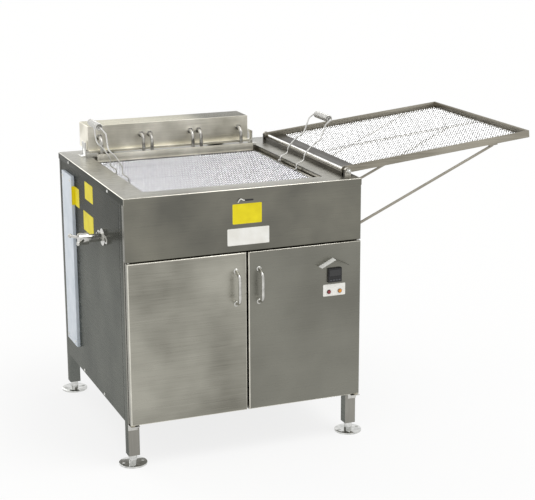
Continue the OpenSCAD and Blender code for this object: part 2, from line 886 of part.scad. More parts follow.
// Upright guide outside each end of the head, with a tab that the base rests on
module head_guide() {
  tab_top = head_gap - pass_gap;
  translate([guide_gap, 0, 0]) cube([guide_t, guide_l, guide_h]);
  translate([guide_gap, 0, 0]) cube([guide_foot, guide_l, guide_t]);
  translate([-guide_tab, 0, tab_top - guide_t]) cube([guide_tab + guide_gap + guide_t, guide_l, guide_t]);
}

module head_guides() {
  guide_y = head_front_y - head_lip + sheet_t + pass_gap;
  color(steel) {
    translate([head_right_x, guide_y, deck_h]) head_guide();
    translate([head_left_x, guide_y, deck_h]) mirror([1, 0, 0]) head_guide();
  }
}

// Deck leaves of the head's hinge, each with its pin
module head_hinge_lower() {
  outer = hinge_leaf_w / 2;
  inner = hinge_mid_w / 2 + hinge_side_gap;
  bottom = deck_h - hinge_z;
  color(bright) for (share = hinge_shares)
    translate([head_x + share * head_w, hinge_y, hinge_z]) {
      translate([-outer, -hinge_leaf_l - knuckle_d / 2, bottom])
        cube([hinge_leaf_w, hinge_leaf_l, sheet_t]);
      for (x = [-outer, inner]) translate([x, 0, 0]) {
        rod_x(knuckle_d, outer - inner);
        translate([0, -knuckle_d / 2 - sheet_t, bottom])
          cube([outer - inner, knuckle_d / 2 + sheet_t, -bottom]);
      }
      translate([-outer, 0, 0]) rod_x(knuckle_pin_d, hinge_leaf_w);
    }
}

// Leaves of the same hinge under the head's base
module head_hinge_upper() {
  top = head_z - hinge_z;
  half = hinge_mid_w / 2;
  color(bright) for (share = hinge_shares)
    translate([head_x + share * head_w, hinge_y, hinge_z]) difference() {
      union() {
        translate([-hinge_leaf_w / 2, -hinge_leaf_l - knuckle_d / 2 - sheet_t, top - sheet_t])
          cube([hinge_leaf_w, hinge_leaf_l, sheet_t]);
        translate([-half, -hinge_leaf_l, top - sheet_t]) cube([hinge_mid_w, hinge_leaf_l, sheet_t]);
        translate([-half, 0, 0]) rod_x(knuckle_d, hinge_mid_w);
        translate([-half, -hinge_web, 0]) cube([hinge_mid_w, hinge_web, top]);
      }
      translate([-half - over, 0, 0]) rod_x(knuckle_pin_d + 2 * turn_fit, hinge_mid_w + 2 * over);
    }
}

// Posts on the deck that hold the tray's hinge rod
module tray_post() {
  difference() {
    union() {
      translate([-tray_post_w / 2, -tray_post_t / 2, deck_h - tray_hinge_z])
        cube([tray_post_w, tray_post_t, tray_hinge_z - deck_h]);
      translate([0, -tray_post_t / 2, 0]) rod_y(tray_post_w, tray_post_t);
    }
    translate([0, -tray_post_t / 2 - over, 0]) rod_y(rod_d + 2 * turn_fit, tray_post_t + 2 * over);
  }
}

// Raised rail on the deck below the hinge rod, open below
module tray_rail() {
  rail_y = tray_front_y + tray_wall + rail_end_gap;
  rail_l = tray_w - 2 * (tray_wall + rail_end_gap);
  translate([tray_hinge_x - rail_set, rail_y, deck_h]) difference() {
    cube([rail_w, rail_l, rail_h]);
    translate([sheet_t, -over, -over])
      cube([rail_w - 2 * sheet_t, rail_l + 2 * over, rail_h - sheet_t + over]);
  }
}

module tray_posts() {
  color(steel) {
    for (y = [tray_front_post_y, tray_rear_post_y])
      translate([tray_hinge_x, y, tray_hinge_z]) tray_post();
    tray_rail();
  }
}

module tray_hinge_rod() {
  y0 = tray_front_post_y - tray_post_t / 2 - rod_nut_l;
  y1 = tray_rear_post_y + tray_post_t / 2 + rod_nut_l;
  color(bright) translate([tray_hinge_x, y0, tray_hinge_z]) rod_y(rod_d, y1 - y0);
}

// Domed nut with its seat at y = 0
module domed_nut() {
  difference() {
    union() {
      rotate([-90, 0, 0]) cylinder(d = rod_nut_d, h = rod_nut_l, $fn = 6);
      translate([0, rod_nut_l, 0]) intersection() {
        sphere(d = rod_nut_dome);
        rod_y(rod_nut_d, rod_nut_d);
      }
    }
    translate([0, -over, 0]) rod_y(rod_d + 2 * turn_fit, rod_nut_l + over + turn_fit);
  }
}

module tray_rod_nuts() {
  color(bright) {
    translate([tray_hinge_x, tray_rear_post_y + tray_post_t / 2, tray_hinge_z]) domed_nut();
    translate([tray_hinge_x, tray_front_post_y - tray_post_t / 2, tray_hinge_z])
      mirror([0, 1, 0]) domed_nut();
  }
}

// Lower pivot brackets on the posts and upper pins under the apron
module door_pivots() {
  pin_low = door_bottom + pivot_l;
  pin_high = door_top - pivot_l;
  bracket_w = post_side * bracket_share;
  color(bright) for (s = [-1, 1]) {
    translate([s * pivot_x, pivot_y, bracket_top]) cylinder(d = pivot_d, h = pin_low - bracket_top);
    translate([s * (half_w - bracket_w / 2) - bracket_w / 2, door_face_y, bracket_top - bracket_t])
      cube([bracket_w, post_front_y - door_face_y, bracket_t]);
    translate([s * (half_w - bracket_w / 2) - bracket_w / 2, post_front_y - bracket_t,
               bracket_top - bracket_drop])
      cube([bracket_w, bracket_t, bracket_drop]);
    translate([s * pivot_x, pivot_y, pin_high]) cylinder(d = pivot_d, h = apron_bottom - pin_high);
  }
}

// Thrust washers under the doors
module door_washers() {
  color(cream) for (s = [-1, 1]) translate([s * pivot_x, pivot_y, bracket_top]) difference() {
    cylinder(d = washer_d, h = washer_t);
    translate([0, 0, -over]) cylinder(d = pivot_d + 2 * turn_fit, h = washer_t + 2 * over);
  }
}

// Magnetic catches under the apron
module door_catches() {
  color(black) for (s = [-1, 1])
    translate([s * catch_x - catch_w / 2, door_back_y + pass_gap, apron_bottom - catch_h])
      cube([catch_w, catch_l, catch_h]);
}

// Cover of the head, open below, with six tube entries
module head_cover() {
  color(steel) difference() {
    translate([head_left_x, head_front_y, head_base_top]) cube([head_w, head_d, head_top - head_base_top]);
    translate([head_left_x + sheet_t, head_front_y + sheet_t, head_base_top - over])
      cube([head_w - 2 * sheet_t, head_d - 2 * sheet_t, head_top - head_base_top - sheet_t + over]);
    for (x = element_xs, s = [-1, 1])
      translate([x + s * hairpin_r, head_front_y - over, entry_z])
        rod_y(tube_d + 2 * pass_gap, sheet_t + 2 * over);
  }
}

// Base plate of the head with its front lip
module head_base() {
  color(steel) {
    translate([head_left_x, head_front_y - head_lip, head_z]) cube([head_w, head_d + head_lip, sheet_t]);
    translate([head_left_x, head_front_y - head_lip, head_z - head_lip_drop])
      cube([head_w, sheet_t, head_lip_drop]);
  }
}

// One hairpin element about its own middle
module leg(s) {
  x = s * hairpin_r;
  translate([x, leg_y + tube_bend, entry_z]) rod_y(tube_d, tube_end_y - leg_y - tube_bend);
  translate([x, leg_y + tube_bend, entry_z - tube_bend]) rotate([0, -90, 0])
    rotate_extrude(angle = -90) translate([tube_bend, 0]) circle(d = tube_d);
  translate([x, leg_y, element_z + tube_bend])
    cylinder(d = tube_d, h = entry_z - element_z - 2 * tube_bend);
  translate([x, leg_y - tube_bend, element_z + tube_bend]) rotate([0, 90, 0])
    rotate_extrude(angle = 90) translate([tube_bend, 0]) circle(d = tube_d);
  translate([x, hairpin_turn_y, element_z]) rod_y(tube_d, leg_y - tube_bend - hairpin_turn_y);
}

module element(k) {
  color(dark_metal) translate([element_xs[k], 0, 0]) {
    leg(-1);
    leg(1);
    translate([0, hairpin_turn_y, element_z]) rotate([0, 0, 180])
      rotate_extrude(angle = 180) translate([hairpin_r, 0]) circle(d = tube_d);
  }
}

module element_nuts() {
  color(bright) for (x = element_xs, s = [-1, 1])
    translate([x + s * hairpin_r, head_front_y - nut_l, entry_z]) rotate([-90, 0, 0]) difference() {
      cylinder(d = nut_d, h = nut_l, $fn = 6);
      translate([0, 0, -over]) cylinder(d = tube_d + 2 * turn_fit, h = nut_l + 2 * over);
    }
}

// Terminal block of each element inside the head
module terminal_blocks() {
  color(cream) for (x = element_xs)
    translate([x - block_w / 2, head_front_y + head_d / 2 - block_l / 2, head_base_top])
      cube([block_w, block_l, block_h]);
}

// Rack that stands on the outer elements and carries the fry screen
module screen_rack() {
  color(steel) translate([kettle_x, kettle_y, 0]) {
    for (s = [-1, 1]) {
      translate([s * rack_rail_x - rack_rail_w / 2, -rack_l / 2, rack_rail_z])
        cube([rack_rail_w, rack_l, rack_rail_h]);
      for (share = rack_bar_shares)
        translate([s * rack_rail_x - rack_leg / 2, share * rack_l - rack_leg / 2, rack_leg_z])
          cube([rack_leg, rack_leg, rack_rail_z - rack_leg_z]);
    }
    for (share = rack_bar_shares)
      translate([-rack_half, share * rack_l - rack_bar_w / 2, rack_rail_z + rack_rail_h])
        cube([2 * rack_half, rack_bar_w, rack_bar_h]);
  }
}

// Edge bars of the fry screen with its rear guard strip and the lugs that hold the bails
module screen_frame() {
  lug_y = bail_w / 2 + bail_d / 2 + lug_gap;
  color(wire) translate([kettle_x, screen_y, 0]) difference() {
    union() {
      translate([0, 0, screen_z]) linear_extrude(edge_h) rounded_rect(screen_w, screen_l, screen_r);
      for (sx = [-1, 1], sy = [-1, 1])
        translate([sx * bail_pivot_x, bail_y - screen_y + sy * (lug_y + lug_t / 2), 0]) {
          translate([0, -lug_t / 2, bail_pivot_z]) rod_y(lug_d, lug_t);
          translate([-lug_d / 2, -lug_t / 2, screen_z]) cube([lug_d, lug_t, bail_pivot_z - screen_z]);
        }
    }
    translate([0, 0, screen_z - over]) linear_extrude(2 * edge_h)
      rounded_rect(screen_w - 2 * edge_w, screen_l - 2 * edge_w, screen_hole_r);
    for (sx = [-1, 1])
      translate([sx * bail_pivot_x, bail_y - screen_y - bail_w, bail_pivot_z])
        rod_y(bail_d + 2 * turn_fit, 2 * bail_w);
  }
  color(wire) translate([kettle_x - guard_w / 2, screen_y + screen_l / 2 + weld_gap, screen_z])
    cube([guard_w, guard_t, guard_h]);
}

// Flat net of crossing wires, its corner at the origin
module net(w, l) {
  hole_w = (w - (net_gaps + 1) * net_wire) / net_gaps;
  hole_l = (l - (net_gaps + 1) * net_wire) / net_gaps;
  linear_extrude(net_t) difference() {
    square([w, l]);
    for (i = [0 : net_gaps - 1], j = [0 : net_gaps - 1])
      translate([net_wire + i * (hole_w + net_wire), net_wire + j * (hole_l + net_wire)])
        square([hole_w, hole_l]);
  }
}

module screen_net() {
  w = screen_w - 2 * edge_w;
  l = screen_l - 2 * edge_w;
  color(wire) translate([kettle_x, screen_y, screen_z + edge_h / 2]) intersection() {
    translate([-w / 2, -l / 2, 0]) net(w, l);
    linear_extrude(net_t) rounded_rect(w, l, screen_hole_r);
  }
}

// Bail wire: points of one side from pivot to grip, in the bail's plane
function bail_point(y, along, across) = [across, y, along];
function bail_side(y) = concat(
  [bail_point(y, 0, 0)],
  [for (i = [0 : len(bail_along_shares) - 1])
    bail_point(y, bail_along_shares[i] * bail_l, bail_across_shares[i] * bail_kink)]
);
function bail_corner(s) = [
  for (k = [0 : bail_corner_steps])
    let (a = 90 * k / bail_corner_steps)
      bail_point(s * (bail_w / 2 - bail_corner_r * (1 - cos(a))), bail_l - bail_corner_r * (1 - sin(a)), 0)
];
function reversed(p) = [for (i = [len(p) - 1 : -1 : 0]) p[i]];
function bail_path() = concat(
  bail_side(-bail_w / 2), bail_corner(-1), reversed(bail_corner(1)), reversed(bail_side(bail_w / 2))
);

// Bail wire with the pins at its ends, leaning outwards on the given side
module bail(s, lean) {
  path = bail_path();
  mirrored = [for (p = path) [s * p[0], p[1], p[2]]];
  color(wire) translate([kettle_x + s * bail_pivot_x, bail_y, bail_pivot_z]) rotate([0, s * lean, 0]) {
    swept_tube(mirrored, bail_d / 2, bail_sides, [for (p = path) [1, 0, 0]]);
    for (m = [0, 1]) mirror([0, m, 0]) translate([0, bail_w / 2 - bail_d / 4, 0])
      rod_y(bail_d, bail_pin_l + bail_d / 4);
  }
}

module left_bail() bail(-1, left_lean);
module right_bail() bail(1, right_lean);

// Coil grip: one helix round the bail's cross wire, its ends turned in to that wire
function coil_point(y, r, a) = [r * cos(a), y, bail_l + r * sin(a)];
function coil_path() =
  let (
    n = grip_curls * curl_rings,
    y0 = -grip_step * grip_curls / 2,
    y1 = grip_step * grip_curls / 2
  )
  concat(
    [coil_point(y0, grip_core_r, 0), coil_point(y0, grip_r - grip_wire, 0)],
    [for (i = [1 : n - 1]) coil_point(y0 + (y1 - y0) * i / n, grip_r, full_turn * i / curl_rings)],
    [coil_point(y1, grip_r - grip_wire, 0), coil_point(y1, grip_core_r, 0)]
  );
coil_gap = grip_step - grip_wire;
echo("least gap between curls of a grip", coil_gap);

module grip(s, lean) {
  path = coil_path();
  axis_ref = [for (p = path) [0, 1, 0]];
  color(bright) translate([kettle_x + s * bail_pivot_x, bail_y, bail_pivot_z]) rotate([0, s * lean, 0])
    swept_tube(path, grip_wire / 2, curl_sides, axis_ref);
}

module left_grip() grip(-1, left_lean);
module right_grip() grip(1, right_lean);

// Places the tray's own frame: x along the tray from the hinge, z square to it
module on_tray() {
  translate([tray_hinge_x, 0, tray_hinge_z]) rotate([0, -tray_tilt, 0]) children();
}

// Edge of the tray with the flanges under its net and the eyes round the hinge rod
module tray_frame() {
  h = tray_h;
  color(steel) on_tray() difference() {
    union() {
      for (y = [tray_front_y, tray_rear_y - tray_wall]) translate([0, y, 0]) {
        translate([0, 0, -h / 2]) cube([tray_l, tray_wall, h]);
        rod_y(h, tray_wall);
      }
      translate([tray_l - tray_wall, tray_front_y, -h / 2]) cube([tray_wall, tray_w, h]);
      translate([tray_inner_u, tray_front_y, -h / 2]) cube([tray_wall, tray_w, tray_inner_h]);
      for (y = [tray_front_y, tray_rear_y - tray_flange])
        translate([tray_inner_u, y, -h / 2]) cube([tray_l - tray_inner_u, tray_flange, tray_wall]);
      for (u = [tray_inner_u, tray_l - tray_flange])
        translate([u, tray_front_y, -h / 2]) cube([tray_flange, tray_w, tray_wall]);
      translate([tray_inner_u, tray_y - tray_mid_bar / 2, -h / 2])
        cube([tray_l - tray_inner_u, tray_mid_bar, tray_wall]);
    }
    translate([0, tray_front_y - over, 0]) rod_y(rod_d + 2 * turn_fit, tray_w + 2 * over);
  }
}

module tray_net() {
  u0 = tray_net_u;
  color(wire) on_tray() translate([u0, tray_front_y + tray_wall, -tray_h / 2 + tray_wall])
    net(tray_l - tray_wall - u0, tray_w - 2 * tray_wall);
}

// Solid sheet at the low end of the tray
module tray_drip_sheet() {
  u0 = tray_inner_u + tray_wall;
  color(steel) on_tray() translate([u0, tray_front_y + tray_wall, -tray_h / 2 + tray_wall])
    cube([tray_net_u - u0, tray_w - 2 * tray_wall, net_t]);
}

// Braces from the tray's underside down to the cabinet's side
module tray_braces() {
  color(steel) for (y = brace_ys) {
    on_tray() translate([brace_at - brace_pad_l / 2, y - brace_pad_w / 2, -tray_h / 2 - brace_pad_t])
      cube([brace_pad_l, brace_pad_w, brace_pad_t]);
    translate([brace_top_x, y, brace_top_z]) rotate([0, -90 - brace_slope, 0])
      cylinder(d = brace_d, h = brace_l);
    translate([brace_ball_x, y, brace_top_z - brace_l * sin(brace_slope)]) sphere(d = brace_ball_d);
  }
}

// Door pan, drawn for the right side
module door_pan() {
  inner_w = door_far_x - door_near_x - 2 * sheet_t;
  block = pivot_l + 2 * sheet_t;
  difference() {
    translate([door_near_x, door_face_y, door_bottom]) cube([door_far_x - door_near_x, door_t, door_h]);
    difference() {
      translate([door_near_x + sheet_t, door_face_y + sheet_t, door_bottom + sheet_t])
        cube([inner_w, door_t, door_h - 2 * sheet_t]);
      for (z = [door_bottom, door_top - block])
        translate([door_far_x - 2 * pivot_inset, door_face_y, z]) cube([2 * pivot_inset, door_t, block]);
    }
    translate([pivot_x, pivot_y, door_bottom - over])
      cylinder(d = pivot_d + 2 * turn_fit, h = pivot_l + pass_gap + over);
    translate([pivot_x, pivot_y, door_top - pivot_l - pass_gap])
      cylinder(d = pivot_d + 2 * turn_fit, h = pivot_l + pass_gap + over);
  }
}

module left_door() {
  color(steel) mirror([1, 0, 0]) door_pan();
}

module right_door() {
  color(steel) difference() {
    door_pan();
    translate([control_x - cutout_side / 2, door_face_y - over, control_z - cutout_side / 2])
      cube([cutout_side, sheet_t + 2 * over, cutout_side]);
    for (s = [-1, 1]) translate([lamp_x + s * lamp_pitch / 2, door_face_y - over, lamp_row_z])
      rod_y(lamp_body_d + 2 * turn_fit, sheet_t + 2 * over);
  }
}

// Bow pull with slanted legs, its feet on the door's face
module pull() {
  foot_z = pull_l / 2 - pull_d / 2;
  bar_z = foot_z - pull_reach / 3;
  foot_t = sheet_t;
  difference() {
    union() {
      translate([0, -pull_reach, -bar_z]) cylinder(d = pull_d, h = 2 * bar_z);
      for (s = [-1, 1]) {
        bar_between([0, -pull_reach, s * bar_z], [0, pull_d / 2, s * (foot_z + pull_d / 6)], pull_d);
        translate([0, -pull_reach, s * bar_z]) sphere(d = pull_d + sheet_t / 4);
        translate([0, -foot_t, s * foot_z]) rod_y(pull_d * 1.5, foot_t);
      }
    }
    translate([-pull_l / 2, 0, -pull_l]) cube([pull_l, pull_l, 2 * pull_l]);
  }
}

module left_pull() color(bright) translate([-pull_x, door_face_y, pull_mid_z]) pull();
module right_pull() color(bright) translate([pull_x, door_face_y, pull_mid_z]) pull();

// Temperature controller with pockets for its keys
module controller() {
  color(black) difference() {
    union() {
      translate([control_x - bezel_side / 2, bezel_front_y, control_z - bezel_side / 2])
        cube([bezel_side, bezel_t, bezel_side]);
      translate([control_x - controller_side / 2, door_face_y, control_z - controller_side / 2])
        cube([controller_side, controller_l, controller_side]);
    }
    translate([control_x - window_w / 2, bezel_front_y - over, window_z - window_h / 2])
      cube([window_w, window_t + over, window_h]);
    for (share = key_shares)
      translate([control_x + share * key_pitch - key_w / 2 - pass_gap, bezel_front_y - over,
                 key_row_z - key_h / 2 - pass_gap])
        cube([key_w + 2 * pass_gap, key_depth + over, key_h + 2 * pass_gap]);
  }
}

module key(k) {
  x = control_x + key_shares[k] * key_pitch;
  color(dark_metal) translate([x - key_w / 2, bezel_front_y - key_proud, key_row_z - key_h / 2])
    cube([key_w, key_l, key_h]);
}

// Gabled drip hood above the controller
module hood() {
  half = hood_w / 2;
  color(bright) translate([hood_x, door_face_y, hood_apex_z]) rotate([90, 0, 0]) linear_extrude(hood_reach)
    polygon([[-half, -hood_rise], [0, 0], [half, -hood_rise], [half, -hood_rise - hood_t],
             [0, -hood_t * 1.1], [-half, -hood_rise - hood_t]]);
}

// Indicator lamp: bezel, domed lens and body through the door
module lamp(s) {
  translate([lamp_x + s * lamp_pitch / 2, door_face_y, lamp_row_z]) {
    translate([0, -lamp_bezel_t, 0]) rod_y(lamp_d, lamp_bezel_t);
    translate([0, -lamp_bezel_t, 0]) sphere(d = lamp_body_d);
    translate([0, -lamp_bezel_t / 2, 0]) rod_y(lamp_body_d, lamp_body_l);
  }
}

module lamp_red() color(red) lamp(-1);
module lamp_amber() color(amber) lamp(1);

// Wiring box behind the right door's skin
module wiring_box() {
  y0 = door_face_y + sheet_t;
  z0 = wiring_box_z - wiring_box_h / 2;
  color(steel) translate([wiring_box_x - wiring_box_w / 2, y0, z0]) difference() {
    cube([wiring_box_w, wiring_box_l, wiring_box_h]);
    translate([sheet_t, -over, sheet_t])
      cube([wiring_box_w - 2 * sheet_t, wiring_box_l - sheet_t + over, wiring_box_h - 2 * sheet_t]);
  }
}

deck();
kettle();
front_apron();
left_side_panel();
right_side_panel();
rear_panel();
floor_pan();
corner_posts();
levelling_feet();
raceway();
panel_screws();
port_pipe();
port_flange();
port_bolts();
wing_cap();
electrical_panel();
contactors();
high_limit_thermostat();
temperature_probe();
cable_gland();
head_guides();
head_hinge_lower();
tray_posts();
tray_hinge_rod();
tray_rod_nuts();
door_pivots();
door_washers();
door_catches();
head_cover();
head_base();
head_hinge_upper();
element(0);  // element_left
element(1);  // element_centre
element(2);  // element_right
element_nuts();
terminal_blocks();
screen_rack();
screen_frame();
screen_net();
left_bail();
left_grip();
right_bail();
right_grip();
tray_frame();
tray_net();
tray_drip_sheet();
tray_braces();
left_door();
right_door();
left_pull();
right_pull();
controller();
key(0);  // key_1
key(1);  // key_2
key(2);  // key_3
key(3);  // key_4
hood();
lamp_red();
lamp_amber();
wiring_box();
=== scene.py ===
"""Looks of an open-kettle donut fryer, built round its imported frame."""

import json
import logging
import math
from dataclasses import dataclass, field
from enum import Enum
from typing import Any, Callable, Optional

import bmesh
import bpy
from mathutils import Matrix, Vector

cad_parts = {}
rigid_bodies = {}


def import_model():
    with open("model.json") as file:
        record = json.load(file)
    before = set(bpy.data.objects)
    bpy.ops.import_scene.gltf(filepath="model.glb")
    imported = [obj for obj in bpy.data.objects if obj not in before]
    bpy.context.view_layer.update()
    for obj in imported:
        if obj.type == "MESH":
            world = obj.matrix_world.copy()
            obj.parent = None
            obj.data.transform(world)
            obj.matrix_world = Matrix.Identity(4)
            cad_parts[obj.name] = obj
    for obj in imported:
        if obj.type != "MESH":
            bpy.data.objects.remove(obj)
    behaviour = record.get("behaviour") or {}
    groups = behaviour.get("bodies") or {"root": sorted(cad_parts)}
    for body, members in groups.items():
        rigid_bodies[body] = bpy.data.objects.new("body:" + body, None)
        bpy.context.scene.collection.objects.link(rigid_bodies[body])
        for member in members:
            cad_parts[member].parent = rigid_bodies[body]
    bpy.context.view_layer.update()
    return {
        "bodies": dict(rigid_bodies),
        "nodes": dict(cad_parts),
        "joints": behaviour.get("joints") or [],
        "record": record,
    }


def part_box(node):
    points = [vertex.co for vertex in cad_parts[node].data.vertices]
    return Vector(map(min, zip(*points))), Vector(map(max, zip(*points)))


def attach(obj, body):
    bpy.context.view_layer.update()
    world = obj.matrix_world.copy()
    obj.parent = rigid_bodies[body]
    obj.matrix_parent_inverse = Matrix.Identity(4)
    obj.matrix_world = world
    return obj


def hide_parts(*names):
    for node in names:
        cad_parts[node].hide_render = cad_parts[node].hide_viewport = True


LOG = logging.getLogger("donut_fryer")
MM = 0.001
Point = tuple[float, float, float]
Pick = Callable[[Vector, Vector], bool]

# The Mix node's sockets go by number, because its inputs share their names
MIX_SHARE, NUMBER_A, NUMBER_B, COLOUR_A, COLOUR_B = 0, 2, 3, 6, 7
COLOUR_OUT = 2

# Angles in degrees below which faces shade smooth
WIRE_CREASE, TURNED_CREASE, SHEET_CREASE, CLOTH_CREASE = 50.0, 40.0, 32.0, 80.0

# Angles in degrees up to which faces are one flat sheet, and from which an edge is sharp
FLAT_ANGLE, SHARP_ANGLE = 1.0, 40.0

# Distances in metres within which places count as one
SAME_PLACE, SAME_LINE, MERGE_WITHIN = 0.0001, 0.00001, 0.00002

# Share of a face's normal along an axis from which it looks straight that way
FACING = 0.98

# A little over two, so that neighbouring bends of a path never meet
BEND_ROOM = 2.01

# The background's colour
WHITE = (1.0, 1.0, 1.0, 1.0)


class Grain(Enum):
    """Which way a brushed sheet was rubbed."""

    ACROSS = "x"
    DEEP = "y"
    UPRIGHT = "z"


class Face(Enum):
    """Which way a plate looks: to the front or to the left."""

    FRONT = "front"
    LEFT = "left"


def linear(code: str) -> tuple[float, float, float, float]:
    """Turns an sRGB hex colour into linear values.

    Args:
        code: Colour such as "#a09d95".

    Returns:
        Linear red, green and blue with full alpha.
    """
    parts = [int(code[k:k + 2], 16) / 255 for k in (1, 3, 5)]
    curve = [p / 12.92 if p <= 0.04045 else ((p + 0.055) / 1.055) ** 2.4 for p in parts]
    return (curve[0], curve[1], curve[2], 1.0)


def add_node(tree: bpy.types.NodeTree, kind: str, settings: Optional[dict] = None,
             links: Optional[dict] = None) -> bpy.types.Node:
    """Adds one node with its settings and links.

    Args:
        tree: The tree that gets the node.
        kind: The node's type name.
        settings: Values by socket name, socket number or attribute.
        links: Output sockets by the name or number of the socket that they feed.

    Returns:
        The new node.
    """
    node = tree.nodes.new(kind)
    for key, value in (settings or {}).items():
        if isinstance(key, int) or key in node.inputs:
            node.inputs[key].default_value = value
        else:
            setattr(node, key, value)
    for key, socket in (links or {}).items():
        tree.links.new(socket, node.inputs[key])
    return node


def blank_material(name: str) -> tuple[bpy.types.Material, bpy.types.NodeTree, bpy.types.Node]:
    """Makes a material that holds only a Principled shader.

    Args:
        name: What the material is.

    Returns:
        The material, its tree and the shader.
    """
    material = bpy.data.materials.new(name)
    material.use_nodes = True
    tree = material.node_tree
    tree.nodes.clear()
    shader = add_node(tree, "ShaderNodeBsdfPrincipled")
    add_node(tree, "ShaderNodeOutputMaterial", None, {"Surface": shader.outputs[0]})
    return material, tree, shader


def two_tone(first: str, second: str) -> dict[Any, Any]:
    """Gives the Mix node's settings for a blend of two hex colours."""
    return {"data_type": "RGBA", COLOUR_A: linear(first), COLOUR_B: linear(second)}


def feed(tree: bpy.types.NodeTree, shader: bpy.types.Node, tone: bpy.types.NodeSocket,
         relief: bpy.types.NodeSocket, gloss: Optional[bpy.types.NodeSocket] = None) -> None:
    """Links a finish's patterns to its shader.

    Args:
        tree: The material's tree.
        shader: The material's shader.
        tone: Its colour.
        relief: Its bumps.
        gloss: Its roughness, where that has a pattern.
    """
    for name, socket in (("Base Color", tone), ("Normal", relief), ("Roughness", gloss)):
        if socket is not None:
            tree.links.new(socket, shader.inputs[name])


@dataclass(frozen=True)
class Finish:
    """A finish by name, with its light and dark tones; each kind below makes its own material."""

    name: str
    light: str
    dark: str

    def make(self) -> bpy.types.Material:
        """Makes the material; each kind of finish has its own way."""
        raise NotImplementedError(self.name)


@dataclass(frozen=True)
class ShadeFade:
    """Painted shade: darkening of a sheet along one axis, from a start to an end in metres."""

    axis: str
    start: float
    end: float
    share: float


@dataclass(frozen=True)
class BrushedSteel(Finish):
    """Stainless sheet, rubbed with a belt: long hair lines, soft streaked reflections, faint clouds."""

    grain: Grain = Grain.UPRIGHT
    roughness: float = 0.32
    line_w: float = 3.0
    line_l: float = 130.0
    cloud: float = 260.0
    cloudiness: float = 0.55
    edge: str = "#ffffff"
    fade: Optional[ShadeFade] = None
    swing: tuple[float, float] = (-0.05, 0.08)

    def make(self) -> bpy.types.Material:
        """Makes the brushed sheet; its hair lines are drawn coarser than real so that they show.

        Returns:
            The material.
        """
        material, tree, shader = blank_material(self.name)
        across, along = 1 / (self.line_w * MM), 1 / (self.line_l * MM)
        scale = [along if axis == self.grain.value else across for axis in "xyz"]
        place = add_node(tree, "ShaderNodeTexCoord").outputs["Object"]
        turned = add_node(tree, "ShaderNodeMapping", {"Scale": scale}, {"Vector": place})
        hair = add_node(tree, "ShaderNodeTexNoise", {"Scale": 1.0, "Detail": 4.0, "Roughness": 0.62},
                        {"Vector": turned.outputs[0]}).outputs[0]
        cloud = add_node(tree, "ShaderNodeTexNoise", {"Scale": 1 / (self.cloud * MM), "Detail": 3.0},
                         {"Vector": place}).outputs[0]
        both = add_node(tree, "ShaderNodeMix", {MIX_SHARE: self.cloudiness},
                        {NUMBER_A: hair, NUMBER_B: cloud}).outputs[0]
        spread = add_node(tree, "ShaderNodeMapRange", {"From Min": 0.36, "From Max": 0.64}, {"Value": both})
        tone = add_node(tree, "ShaderNodeMix", two_tone(self.dark, self.light),
                        {MIX_SHARE: spread.outputs[0]}).outputs[COLOUR_OUT]
        if self.fade:
            tone = self.faded(tree, place, tone)
        rough = add_node(tree, "ShaderNodeMapRange",
                         {"From Min": 0.3, "From Max": 0.7, "To Min": self.roughness + self.swing[0],
                          "To Max": self.roughness + self.swing[1]}, {"Value": hair})
        bump = add_node(tree, "ShaderNodeBump", {"Strength": 0.12, "Distance": 0.0006}, {"Height": hair})
        shader.inputs["Metallic"].default_value = 1.0
        shader.inputs["Anisotropic"].default_value = 0.45
        shader.inputs["Specular Tint"].default_value = linear(self.edge)
        feed(tree, shader, tone, bump.outputs[0], rough.outputs[0])
        axis = "X" if self.grain == Grain.UPRIGHT else "Z"
        around = add_node(tree, "ShaderNodeTangent", {"direction_type": "RADIAL", "axis": axis})
        tree.links.new(around.outputs[0], shader.inputs["Tangent"])
        return material

    def faded(self, tree: bpy.types.NodeTree, place: bpy.types.NodeSocket,
              tone: bpy.types.NodeSocket) -> bpy.types.NodeSocket:
        """Darkens a tone along the sheet as painted shade.

        Args:
            tree: The material's tree.
            place: The sheet's coordinates.
            tone: The tone before.

        Returns:
            The tone after.
        """
        apart = add_node(tree, "ShaderNodeSeparateXYZ", None, {0: place})
        along = apart.outputs["xyz".index(self.fade.axis)]
        share = add_node(tree, "ShaderNodeMapRange",
                         {"From Min": self.fade.start, "From Max": self.fade.end, "To Min": 1.0,
                          "To Max": self.fade.share, "interpolation_type": "SMOOTHSTEP"}, {"Value": along})
        grey = add_node(tree, "ShaderNodeCombineColor", None,
                        {k: share.outputs[0] for k in ("Red", "Green", "Blue")})
        return add_node(tree, "ShaderNodeMix",
                        {"data_type": "RGBA", "blend_type": "MULTIPLY", MIX_SHARE: 1.0},
                        {COLOUR_A: tone, COLOUR_B: grey.outputs[0]}).outputs[COLOUR_OUT]


